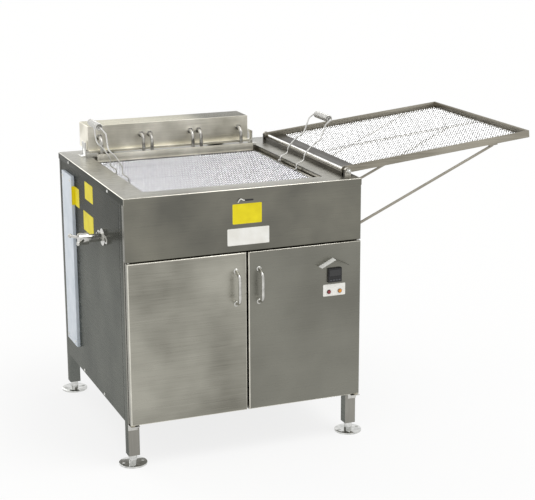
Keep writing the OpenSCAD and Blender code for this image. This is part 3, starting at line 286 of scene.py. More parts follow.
@dataclass(frozen=True)
class PolishedSteel(Finish):
    """Steel polished or plated bright: sharp reflections, fine handling marks."""

    roughness: float = 0.14
    mark: float = 14.0
    swing: tuple[float, float] = (0.7, 1.5)

    def make(self) -> bpy.types.Material:
        """Makes the bright metal with blurred patches where hands and cloths have been.

        Returns:
            The material.
        """
        material, tree, shader = blank_material(self.name)
        place = add_node(tree, "ShaderNodeTexCoord").outputs["Object"]
        marks = add_node(tree, "ShaderNodeTexNoise",
                         {"Scale": 1 / (self.mark * MM), "Detail": 5.0, "Roughness": 0.6},
                         {"Vector": place}).outputs[0]
        spread = add_node(tree, "ShaderNodeMapRange", {"From Min": 0.35, "From Max": 0.65}, {"Value": marks})
        tone = add_node(tree, "ShaderNodeMix", two_tone(self.dark, self.light),
                        {MIX_SHARE: spread.outputs[0]})
        rough = add_node(tree, "ShaderNodeMapRange",
                         {"From Min": 0.3, "From Max": 0.7, "To Min": self.roughness * self.swing[0],
                          "To Max": self.roughness * self.swing[1]}, {"Value": marks})
        bump = add_node(tree, "ShaderNodeBump", {"Strength": 0.05, "Distance": 0.0004}, {"Height": marks})
        shader.inputs["Metallic"].default_value = 1.0
        feed(tree, shader, tone.outputs[COLOUR_OUT], bump.outputs[0], rough.outputs[0])
        return material


@dataclass(frozen=True)
class WovenWire(Finish):
    """Wire of a woven cloth: slanting rows of painted highlight cross painted shade, where the wire is also
    duller.
    """

    row_x: float = 10.0
    row_y: float = 33.0
    roughness: float = 0.3
    dulled: float = 1.4

    def make(self) -> bpy.types.Material:
        """Makes the wire; its rows of painted highlight and shade are drawn coarser than real so that they
        show.

        Returns:
            The material.
        """
        material, tree, shader = blank_material(self.name)
        turn = 2 * math.pi / MM
        place = add_node(tree, "ShaderNodeTexCoord").outputs["Object"]
        slant = add_node(tree, "ShaderNodeVectorMath", {"operation": "DOT_PRODUCT", 1: (
            turn / self.row_x, turn / self.row_y, 0.0)}, {0: place})
        rows = add_node(tree, "ShaderNodeMath", {"operation": "SINE"},
                        {0: slant.outputs["Value"]}).outputs[0]
        marks = add_node(tree, "ShaderNodeTexNoise", {"Scale": 1 / (self.row_x * MM), "Detail": 4.0},
                         {"Vector": place}).outputs[0]
        blotch = add_node(tree, "ShaderNodeMapRange", {"From Min": 0.35, "From Max": 0.65, "To Min": -0.5,
                                                       "To Max": 0.5}, {"Value": marks}).outputs[0]
        both = add_node(tree, "ShaderNodeMath", {"operation": "ADD"}, {0: rows, 1: blotch}).outputs[0]
        spread = add_node(tree, "ShaderNodeMapRange", {"From Min": -0.4, "From Max": 0.85}, {"Value": both})
        tone = add_node(tree, "ShaderNodeMix", two_tone(self.dark, self.light),
                        {MIX_SHARE: spread.outputs[0]})
        rough = add_node(tree, "ShaderNodeMapRange",
                         {"To Min": self.roughness * self.dulled, "To Max": self.roughness},
                         {"Value": spread.outputs[0]})
        bump = add_node(tree, "ShaderNodeBump", {"Strength": 0.1, "Distance": 0.0002}, {"Height": marks})
        shader.inputs["Metallic"].default_value = 1.0
        feed(tree, shader, tone.outputs[COLOUR_OUT], bump.outputs[0], rough.outputs[0])
        return material


@dataclass(frozen=True)
class MottledTube(Finish):
    """Heating tube sheath, oxidised by hot fat: grey brown patches with a dull shine."""

    patch: float = 22.0
    roughness: tuple[float, float] = (0.2, 0.4)

    def make(self) -> bpy.types.Material:
        """Makes the oxidised sheath.

        Returns:
            The material.
        """
        material, tree, shader = blank_material(self.name)
        place = add_node(tree, "ShaderNodeTexCoord").outputs["Object"]
        patches = add_node(tree, "ShaderNodeTexNoise", {"Scale": 1 / (self.patch * MM), "Detail": 6.0,
                                                        "Roughness": 0.65}, {"Vector": place}).outputs[0]
        spread = add_node(tree, "ShaderNodeMapRange", {"From Min": 0.38, "From Max": 0.62},
                          {"Value": patches})
        tone = add_node(tree, "ShaderNodeMix", two_tone(self.dark, self.light),
                        {MIX_SHARE: spread.outputs[0]})
        rough = add_node(tree, "ShaderNodeMapRange",
                         {"To Min": self.roughness[0], "To Max": self.roughness[1]}, {"Value": patches})
        bump = add_node(tree, "ShaderNodeBump", {"Strength": 0.15, "Distance": 0.0004}, {"Height": patches})
        shader.inputs["Metallic"].default_value = 0.9
        feed(tree, shader, tone.outputs[COLOUR_OUT], bump.outputs[0], rough.outputs[0])
        return material


@dataclass(frozen=True)
class Coating(Finish):
    """Paint, film or moulded plastic: one hue with slight unevenness and a fine surface texture."""

    roughness: float = 0.4
    patch: float = 60.0
    pore: float = 1.6
    pore_depth: float = 0.0002
    ior: float = 1.5
    coat: float = 0.0
    swing: tuple[float, float] = (0.85, 1.2)

    def make(self) -> bpy.types.Material:
        """Makes the coat; its pores are drawn coarser than real so that they show.

        Returns:
            The material.
        """
        material, tree, shader = blank_material(self.name)
        place = add_node(tree, "ShaderNodeTexCoord").outputs["Object"]
        patches = add_node(tree, "ShaderNodeTexNoise", {"Scale": 1 / (self.patch * MM), "Detail": 3.0},
                           {"Vector": place}).outputs[0]
        pores = add_node(tree, "ShaderNodeTexNoise", {"Scale": 1 / (self.pore * MM), "Detail": 2.0},
                         {"Vector": place}).outputs[0]
        spread = add_node(tree, "ShaderNodeMapRange", {"From Min": 0.35, "From Max": 0.65},
                          {"Value": patches})
        tone = add_node(tree, "ShaderNodeMix", two_tone(self.dark, self.light),
                        {MIX_SHARE: spread.outputs[0]})
        rough = add_node(tree, "ShaderNodeMapRange",
                         {"To Min": self.roughness * self.swing[0],
                          "To Max": self.roughness * self.swing[1]}, {"Value": pores})
        bump = add_node(tree, "ShaderNodeBump", {"Strength": 0.2, "Distance": self.pore_depth},
                        {"Height": pores})
        shader.inputs["IOR"].default_value = self.ior
        shader.inputs["Coat Weight"].default_value = self.coat
        feed(tree, shader, tone.outputs[COLOUR_OUT], bump.outputs[0], rough.outputs[0])
        return material


@dataclass(frozen=True)
class Lens(Finish):
    """Moulded lamp lens: deep clear colour under a smooth skin, darker towards the rim."""

    rib: float = 10 / 7

    def make(self) -> bpy.types.Material:
        """Makes the lens; its hue is deeper where the dome slopes to its rim.

        Returns:
            The material.
        """
        material, tree, shader = blank_material(self.name)
        spots = add_node(tree, "ShaderNodeTexCoord").outputs
        ribs = add_node(tree, "ShaderNodeTexNoise", {"Scale": 1 / (self.rib * MM), "Detail": 2.0},
                        {"Vector": spots["Object"]}).outputs[0]
        slope = add_node(tree, "ShaderNodeSeparateXYZ", None, {0: spots["Normal"]}).outputs[1]
        rim = add_node(tree, "ShaderNodeMapRange", {"From Min": -0.95, "From Max": -0.2}, {"Value": slope})
        tone = add_node(tree, "ShaderNodeMix", two_tone(self.light, self.dark),
                        {MIX_SHARE: rim.outputs[0]})
        bump = add_node(tree, "ShaderNodeBump", {"Strength": 0.1, "Distance": 0.0003}, {"Height": ribs})
        shader.inputs["Roughness"].default_value = 0.12
        shader.inputs["IOR"].default_value = 1.49
        shader.inputs["Coat Weight"].default_value = 0.5
        feed(tree, shader, tone.outputs[COLOUR_OUT], bump.outputs[0])
        return material


# Finishes of this fryer
CASE_UPRIGHT = BrushedSteel("brushed_stainless_case_upright_grain", "#9c9a93", "#84827b")
CASE_LEVEL = BrushedSteel("brushed_stainless_case_level_grain", "#9c9a93", "#84827b", Grain.ACROSS)
# Painted shade: the sides' darker steel, darker still towards the top where the deck's rim shades it
SHADED_SIDE_STEEL = BrushedSteel("painted_shade_brushed_stainless_sides", "#80827c", "#5e615e", Grain.DEEP, 0.26,
                          edge="#c8c8c6", fade=ShadeFade("z", 0.5, 0.8, 0.45))
# Painted light: a paler copy of the head steel for its top, with painted shade towards its right end
LIT_HEAD_TOP_STEEL = BrushedSteel("painted_light_and_shade_stainless_head_top", "#f6f1dd", "#e0dbc7", Grain.ACROSS, 0.26,
                              edge="#dededa", fade=ShadeFade("x", 0.03, 0.13, 0.25))
# Lit and shaded copies of the door steel: painted light on the left door, painted shade on the right one
LIT_DOOR_STEEL = BrushedSteel("painted_light_brushed_stainless_left_door", "#acaa9f", "#76746b", Grain.ACROSS, 0.3,
                          cloud=300.0, cloudiness=0.8)
SHADED_DOOR_STEEL = BrushedSteel("painted_shade_brushed_stainless_right_door", "#87867d", "#75746c", Grain.ACROSS, 0.3,
                               cloud=300.0, cloudiness=0.8)
# Painted shade: the apron's steel darker than the case
SHADED_APRON_STEEL = BrushedSteel("painted_shade_brushed_stainless_apron", "#868479", "#686760", Grain.ACROSS, 0.3,
                           cloud=260.0, cloudiness=0.82)
DECK_STEEL = BrushedSteel("brushed_stainless_deck", "#b4b2a8", "#8f8d84", Grain.ACROSS, 0.28)
KETTLE_STEEL = BrushedSteel("brushed_stainless_kettle", "#b8b4a8", "#96928a", Grain.UPRIGHT, 0.28)
HEAD_STEEL = BrushedSteel("brushed_stainless_head", "#fffbee", "#d2cebf", Grain.ACROSS, 0.42,
                          cloud=110.0, cloudiness=0.8)
# Painted shade: dark steel for the drip sheet under the cloth and the rail's face towards the kettle
SHADED_DRIP_STEEL = BrushedSteel("painted_shade_stainless_drip_sheet", "#6c6860", "#3e3b36", Grain.DEEP, 0.38)
RAIL_STEEL = BrushedSteel("brushed_stainless_rail", "#bdb9ae", "#97938a", Grain.DEEP, 0.26)
TRAY_STEEL = BrushedSteel("brushed_stainless_tray", "#a8a396", "#7e796d", Grain.ACROSS, 0.28)
POLISHED = PolishedSteel("polished_stainless_fittings", "#d3d2cd", "#b4b3ae")
CHROME = PolishedSteel("bright_plated_feet", "#e0e0dd", "#b9bab7", 0.1)
# Frosted zinc for the screws and the clip; on the hood this white is painted light
FROSTED_ZINC_AND_LIT_WHITE = Coating("frosted_zinc_and_painted_light_white", "#f4f4f0", "#e6e6e1", 0.42, 30.0, 1.2)
WIRE_STEEL = PolishedSteel("bright_drawn_wire", "#e4e3df", "#c2c1bd", 0.2, 40.0)
GRIP_WIRE = PolishedSteel("zinc_plated_coil_wire", "#dcdbd6", "#bdbcb8", 0.28, 9.0)
# Woven cloth wire with painted highlight and painted shade in slanting rows
SCREEN_CLOTH = WovenWire("tinned_woven_wire", "#f4f4f7", "#3e3e43")
TRAY_CLOTH = WovenWire("stainless_woven_wire", "#f2f2f1", "#343434")
# Painted highlight along rounded edges
HIGHLIGHT_EDGE_STEEL = PolishedSteel("painted_highlight_edge", "#e6e3d8", "#cbc8bd", 0.2, 60.0)
ROD_STEEL = PolishedSteel("drawn_stainless_rod", "#a09b8f", "#8b867b", 0.22, 240.0)
TUBE = MottledTube("oxidised_heating_tube", "#d8d6d0", "#807e78")
RACEWAY_PAINT = Coating("pale_blue_baked_enamel", "#dde4ec", "#cdd6df")
BLACK_PLASTIC = Coating("black_abs_case", "#1d1d1f", "#121213", 0.36, 40.0, 1.2)
KEY_RUBBER = Coating("grey_moulded_keys", "#55565a", "#47484b", 0.5, 20.0, 0.9)
WINDOW = Coating("smoked_acrylic_window", "#0b0c0e", "#070708", 0.06, 30.0, 4.0, 0.00002, 1.49, 0.6)
CREAM_PLASTIC = Coating("cream_nylon_washers", "#ddd8c4", "#cfc9b3", 0.45, 30.0, 1.2)
YELLOW_FILM = Coating("blank_yellow_vinyl_film", "#f0df16", "#e3d00c", 0.5, 45.0, 2.0, 0.00006, 1.4)
WHITE_FILM = Coating("blank_white_vinyl_film", "#f4f3ee", "#eae8e1", 0.42, 45.0, 2.0, 0.00006, 1.45)
RED_LENS = Lens("red_polycarbonate_lens", "#8a121d", "#3a070c")
AMBER_LENS = Lens("amber_polycarbonate_lens", "#e0901c", "#6e3c06")


def alone(thing: bpy.types.Object) -> None:
    """Makes one object the only selected and the active one.

    Args:
        thing: The object.
    """
    bpy.ops.object.select_all(action="DESELECT")
    thing.select_set(True)
    bpy.context.view_layer.objects.active = thing


def edit(thing: bpy.types.Object) -> bmesh.types.BMesh:
    """Opens an object in edit mode with nothing selected.

    Args:
        thing: The mesh object.

    Returns:
        Its edit mesh.
    """
    alone(thing)
    bpy.ops.object.mode_set(mode="EDIT")
    bpy.ops.mesh.select_all(action="DESELECT")
    return bmesh.from_edit_mesh(thing.data)


def leave_edit(thing: bpy.types.Object) -> None:
    """Writes the edit mesh back and returns to object mode."""
    bmesh.update_edit_mesh(thing.data)
    bpy.ops.object.mode_set(mode="OBJECT")


def apply_modifier(thing: bpy.types.Object, kind: str, **settings: Any) -> None:
    """Adds a modifier with settings and applies it at once.

    Args:
        thing: The object.
        kind: The modifier's type name.
        settings: Its values by name.
    """
    alone(thing)
    modifier = thing.modifiers.new(kind.lower(), kind)
    for key, value in settings.items():
        setattr(modifier, key, value)
    bpy.ops.object.modifier_apply(modifier=modifier.name)


def smooth_shade(thing: bpy.types.Object, degrees: float) -> None:
    """Shades smooth below an angle."""
    alone(thing)
    bpy.ops.object.shade_smooth_by_angle(angle=math.radians(degrees))


def wire_piece(name: str, paths: list[list[Point]], radius: float, rounds: int = 3) -> bpy.types.Object:
    """Makes round wire along open paths.

    Args:
        name: The piece's name.
        paths: Points of each wire, in metres.
        radius: Half the wire's thickness.
        rounds: Roundness; 0 gives four sides.

    Returns:
        The mesh object.
    """
    bpy.ops.object.select_all(action="DESELECT")
    data = bpy.data.curves.new(name, "CURVE")
    data.dimensions = "3D"
    data.bevel_depth = radius
    data.bevel_resolution = rounds
    data.use_fill_caps = True
    data.twist_mode = "MINIMUM"
    for path in paths:
        spline = data.splines.new("POLY")
        spline.points.add(len(path) - 1)
        for spot, place in zip(spline.points, path):
            spot.co = (*place, 1.0)
    piece = bpy.data.objects.new(name, data)
    bpy.context.scene.collection.objects.link(piece)
    alone(piece)
    bpy.ops.object.convert(target="MESH")
    piece = bpy.context.view_layer.objects.active
    smooth_shade(piece, WIRE_CREASE)
    return piece


def eased(points: list[Vector], steps: int = 6) -> list[Point]:
    """Runs a smooth curve through points.

    Args:
        points: Places that the curve passes.
        steps: Parts between two places.

    Returns:
        The curve's points.
    """
    ends = [points[0] * 2 - points[1], *points, points[-1] * 2 - points[-2]]
    curve: list[Point] = []
    for a, b, c, d in zip(ends, ends[1:], ends[2:], ends[3:]):
        for k in range(steps):
            t = k / steps
            curve.append(tuple(0.5 * ((2 * b) + (c - a) * t + (2 * a - 5 * b + 4 * c - d) * t * t
                                      + (3 * b - a - 3 * c + d) * t ** 3)))
    curve.append(tuple(points[-1]))
    return curve


def filleted(points: list[Vector], radius: float, steps: int = 8) -> list[Point]:
    """Rounds the corners of a path.

    Args:
        points: The path's corners.
        radius: How far before and after a corner the bend starts.
        steps: Parts of each bend.

    Returns:
        The rounded path.
    """
    path: list[Point] = [tuple(points[0])]
    for a, b, c in zip(points, points[1:], points[2:]):
        reach = min(radius, (a - b).length / BEND_ROOM, (c - b).length / BEND_ROOM)
        start, end = b + (a - b).normalized() * reach, b + (c - b).normalized() * reach
        for k in range(steps + 1):
            t = k / steps
            path.append(tuple(start * (1 - t) ** 2 + b * 2 * t * (1 - t) + end * t ** 2))
    path.append(tuple(points[-1]))
    return path


def turned_piece(name: str, rings: list[tuple[float, float]], centre: Point,
                 segments: int = 40) -> bpy.types.Object:
    """Turns a round piece whose axis looks to the front.

    Args:
        name: The piece's name.
        rings: Radius and distance in front of the centre for each ring, from back to front.
        centre: Middle of the back ring, in metres.
        segments: Sides of the round.

    Returns:
        The mesh object, closed at both ends.
    """
    bpy.ops.object.select_all(action="DESELECT")
    bpy.ops.mesh.primitive_circle_add(vertices=segments, radius=1.0, fill_type="NOTHING")
    piece = bpy.context.view_layer.objects.active
    piece.name = name
    mesh = edit(piece)
    middle = Vector(centre)

    def shape(ring: list[bmesh.types.BMVert], radius: float, front: float) -> None:
        """Sets a ring's vertices at a radius and a distance.

        Args:
            ring: The vertices in order.
            radius: Their distance from the axis.
            front: Their distance before the centre.
        """
        for k, vert in enumerate(ring):
            turn = 2 * math.pi * k / segments
            vert.co = middle + Vector((radius * math.cos(turn), -front, radius * math.sin(turn)))

    mesh.verts.ensure_lookup_table()
    ring = list(mesh.verts)
    shape(ring, *rings[0])
    mesh.faces.new(list(reversed(ring)))
    for radius, front in rings[1:]:
        fresh = [mesh.verts.new(vert.co) for vert in ring]
        for k in range(segments):
            after = (k + 1) % segments
            mesh.faces.new((ring[k], ring[after], fresh[after], fresh[k]))
        shape(fresh, radius, front)
        ring = fresh
    mesh.faces.new(ring)
    bmesh.ops.recalc_face_normals(mesh, faces=mesh.faces)
    leave_edit(piece)
    smooth_shade(piece, TURNED_CREASE)
    return piece


def blank_plate(name: str, centre: Point, width: float, height: float, face: Face,
                thick: float = 0.4 * MM, corner: float = 3 * MM) -> bpy.types.Object:
    """Makes a bare plate with round corners that stands on a wall.

    Args:
        name: The piece's name.
        centre: Middle of the plate on the wall, in metres.
        width: Its width along the wall.
        height: Its height.
        face: Which way it looks.
        thick: Its thickness.
        corner: Radius of its corners.

    Returns:
        The mesh object.
    """
    bpy.ops.object.select_all(action="DESELECT")
    bpy.ops.mesh.primitive_plane_add(size=1.0)
    piece = bpy.context.view_layer.objects.active
    piece.name = name
    right = Vector((1, 0, 0)) if face == Face.FRONT else Vector((0, -1, 0))
    out = Vector((0, -1, 0)) if face == Face.FRONT else Vector((-1, 0, 0))
    for vert in piece.data.vertices:
        vert.co = Vector(centre) + right * (vert.co.x * width) + Vector((0, 0, vert.co.y * height))
    edit(piece)
    bpy.ops.mesh.select_all(action="SELECT")
    bpy.ops.mesh.bevel(offset=corner, segments=5, affect="VERTICES")
    bpy.ops.mesh.extrude_region_move(TRANSFORM_OT_translate={"value": tuple(out * thick)})
    bpy.ops.mesh.select_all(action="SELECT")
    bpy.ops.mesh.normals_make_consistent(inside=False)
    leave_edit(piece)
    smooth_shade(piece, TURNED_CREASE)
    return piece


@dataclass
class Bench:
    """Holds the frame, which body carries which node, and the finishes made so far."""

    frame: dict[str, Any]
    made: dict[str, bpy.types.Material] = field(default_factory=dict)

    def body_of(self, node: str) -> str:
        """Names the body that carries a node."""
        groups = self.frame["record"]["behaviour"]["bodies"]
        return next(body for body, nodes in groups.items() if node in nodes)

    def finish(self, coat: Finish) -> bpy.types.Material:
        """Gives a finish's material, made once.

        Args:
            coat: The finish.

        Returns:
            Its material.
        """
        if coat.name not in self.made:
            self.made[coat.name] = coat.make()
        return self.made[coat.name]

    def dress(self, coat: Finish, *nodes: str) -> None:
        """Gives CAD nodes a finish.

        Args:
            coat: The finish.
            nodes: The nodes' names.
        """
        for node in nodes:
            part = self.frame["nodes"][node]
            part.data.materials.clear()
            part.data.materials.append(self.finish(coat))

    def paint(self, piece: bpy.types.Object, coat: Finish, where: Pick) -> None:
        """Gives some faces another finish.

        Args:
            piece: The mesh object.
            coat: The other finish.
            where: Says for a face's normal and middle whether it gets the finish.
        """
        piece.data.materials.append(self.finish(coat))
        for face in piece.data.polygons:
            if where(face.normal, face.center):
                face.material_index = len(piece.data.materials) - 1

    def place(self, piece: bpy.types.Object, body: str, coat: Finish, slot: str,
              *nodes: str) -> bpy.types.Object:
        """Finishes a new piece and joins it to the frame.

        Args:
            piece: The new mesh object.
            body: The body that carries it.
            coat: Its finish.
            slot: Not used.
            nodes: CAD nodes that it stands for.

        Returns:
            The piece.
        """
        piece.data.materials.clear()
        piece.data.materials.append(self.finish(coat))
        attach(piece, body)
        if nodes:
            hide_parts(*nodes)
        LOG.info("%s rides on %s", piece.name, body)
        return piece

    def soften(self, node: str, coat: Finish, slot: str, width: float, segments: int = 3,
               shortest: float = 12 * MM, where: Optional[Pick] = None) -> bpy.types.Object:
        """Copies a node's sheet and rounds its long sharp edges.

        Args:
            node: The CAD node.
            coat: The copy's finish.
            slot: The record's slot.
            width: Width of the rounding.
            segments: Parts of the rounding.
            shortest: Edges below this length stay sharp.
            where: Says for an edge's two ends whether it is rounded.

        Returns:
            The new piece, which stands for the node.
        """
        source = self.frame["nodes"][node]
        piece = bpy.data.objects.new(node + "_dressed", source.data.copy())
        bpy.context.scene.collection.objects.link(piece)
        edit(piece)
        bpy.ops.mesh.select_all(action="SELECT")
        bpy.ops.mesh.remove_doubles(threshold=MERGE_WITHIN)
        bpy.ops.mesh.dissolve_limited(angle_limit=math.radians(FLAT_ANGLE))
        bpy.ops.mesh.select_all(action="DESELECT")
        mesh = bmesh.from_edit_mesh(piece.data)
        bpy.ops.mesh.select_mode(type="EDGE")
        for line in mesh.edges:
            if len(line.link_faces) != 2 or line.calc_length() < shortest:
                continue
            if line.calc_face_angle_signed(0.0) < math.radians(SHARP_ANGLE):
                continue
            ends = line.verts[0].co, line.verts[1].co
            if where is None or where(*ends):
                line.select_set(True)
        bmesh.update_edit_mesh(piece.data)
        bpy.ops.mesh.bevel(offset=width, segments=segments, profile=0.5, clamp_overlap=True)
        leave_edit(piece)
        smooth_shade(piece, SHEET_CREASE)
        return self.place(piece, self.body_of(node), coat, slot, node)


class Wall(Enum):
    """What a bare film sits on."""

    APRON = "apron"
    SIDE = "side"
    RACEWAY = "raceway"


@dataclass(frozen=True)
class Film:
    """A bare film in millimetres, placed along its wall and above the floor.

    On the raceway, along starts at the left panel's face.
    """

    name: str
    wall: Wall
    along: float
    above: float
    width: float
    height: float
    coat: Finish = YELLOW_FILM
    slot: str = "raceway_paint"
    thick: float = 0.4
    corner: float = 3.0


@dataclass
class Cabinet:
    """Deck, apron, posts, panels, feet and the side raceway, with bare films and a clip."""

    bench: Bench
    rim_round: float = 3.4 * MM
    post_round: float = 3.0 * MM
    post_edge: float = 200 * MM
    apron_round: float = 1.2 * MM
    raceway_round: float = 2.2 * MM
    feet_round: float = 0.9 * MM
    feet_edge: float = 1.0 * MM
    guide_round: float = 0.8 * MM
    rail_round: float = 0.9 * MM
    # Shares of a face's normal: upwards on the rim's painted highlight, sideways on the posts' and rail's
    # painted shade
    rim_slope: tuple[float, float] = (0.2, 0.96)
    post_side: float = 0.8
    rail_side: float = 0.9
    films: tuple[Film, ...] = (
        Film("apron_yellow_plate", Wall.APRON, 3.5, 804.5, 99, 65),
        Film("apron_white_plate", Wall.APRON, 7, 730.5, 142, 55, WHITE_FILM),
        Film("side_yellow_plate_rear", Wall.SIDE, 156.5, 771, 60, 66),
        Film("raceway_yellow_plate", Wall.RACEWAY, -6, 771, 11, 66),
        Film("side_yellow_plate_high", Wall.SIDE, -3.5, 820, 101, 60),
        Film("side_yellow_plate_low", Wall.SIDE, 11.5, 711.5, 127, 67),
        Film("clip_bar", Wall.APRON, 8, 848, 32, 5, BLACK_PLASTIC, "black_plastic", 2.5, 2),
    )
    clip_r: float = 1.7 * MM
    # Bends of the clip's wire in millimetres: along the apron, out from it and above the floor
    clip_bends: tuple[Point, ...] = ((-27, 0, 842), (-27, 5, 847), (-20, 6, 854), (-12, 5, 850),
                                     (-6, 1.5, 848))

    def build(self) -> None:
        """Rounds the visible sheets and adds the bare plates."""
        low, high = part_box("deck")

        def outer(spot: Vector) -> bool:
            """Tells whether a place lies on the deck's outline."""
            return any(abs(spot[k] - side[k]) < SAME_PLACE for side in (low, high) for k in (0, 1))

        def rim(a: Vector, b: Vector) -> bool:
            """Picks the deck's outer top edges and corners.

            Args:
                a: One end of an edge.
                b: Its other end.

            Returns:
                Whether the edge is rounded.
            """
            level = all(abs(end.z - high[2]) < SAME_PLACE for end in (a, b))
            upright = abs(a.x - b.x) < SAME_LINE and abs(a.y - b.y) < SAME_LINE
            return outer(a) and outer(b) and (level or upright)

        soften, paint, dress = self.bench.soften, self.bench.paint, self.bench.dress
        deck = soften("deck", DECK_STEEL, "stainless", self.rim_round, segments=4, where=rim)
        # Painted shade on the deck's front and side faces, in the apron's and the sides' darker steel, and a
        # painted highlight on its rounded rim
        paint(deck, SHADED_APRON_STEEL, lambda way, spot: way.y < -FACING)
        paint(deck, SHADED_SIDE_STEEL, lambda way, spot: abs(way.x) > FACING)
        paint(deck, HIGHLIGHT_EDGE_STEEL, lambda way, spot: self.rim_slope[0] < way.z < self.rim_slope[1])
        soften("front_apron", SHADED_APRON_STEEL, "stainless", self.apron_round)
        posts = soften("corner_posts", CASE_UPRIGHT, "stainless", self.post_round, shortest=self.post_edge)
        # Painted shade: the posts' side faces and all faces of the rear posts take the darker side steel
        paint(posts, SHADED_SIDE_STEEL, lambda way, spot: abs(way.x) > self.post_side or spot.y > 0)
        soften("raceway", RACEWAY_PAINT, "raceway_paint", self.raceway_round)
        soften("levelling_feet", CHROME, "bright_steel", self.feet_round, segments=2, shortest=self.feet_edge)
        soften("head_guides", POLISHED, "bright_steel", self.guide_round, segments=2)
        rail = soften("tray_posts", RAIL_STEEL, "stainless", self.rail_round, segments=2)
        # Painted shade on the rail's face towards the kettle
        paint(rail, SHADED_DRIP_STEEL, lambda way, spot: way.x < -self.rail_side)
        dress(KETTLE_STEEL, "kettle")
        # Painted shade: both side panels take the darker side steel
        dress(SHADED_SIDE_STEEL, "left_side_panel", "right_side_panel")
        dress(CASE_UPRIGHT, "rear_panel")
        dress(CASE_LEVEL, "floor_pan", "electrical_panel")
        self.plates()

    def plates(self) -> None:
        """Adds the bare films on the apron and the left side, and the clip."""
        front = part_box("front_apron")[0][1]
        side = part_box("left_side_panel")[0][0]
        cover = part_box("raceway")[0][1]
        for film in self.films:
            along, above = film.along * MM, film.above * MM
            centre, face = {Wall.APRON: ((along, front, above), Face.FRONT),
                            Wall.SIDE: ((side, along, above), Face.LEFT),
                            Wall.RACEWAY: ((side + along, cover, above), Face.FRONT)}[film.wall]
            plate = blank_plate(film.name, centre, film.width * MM, film.height * MM, face,
                                film.thick * MM, film.corner * MM)
            self.bench.place(plate, "cabinet", film.coat, film.slot)
        bends = [Vector((x * MM, front - out * MM, z * MM)) for x, out, z in self.clip_bends]
        loop = wire_piece("clip_loop", [eased(bends)], self.clip_r)
        self.bench.place(loop, "cabinet", FROSTED_ZINC_AND_LIT_WHITE, "bright_steel")


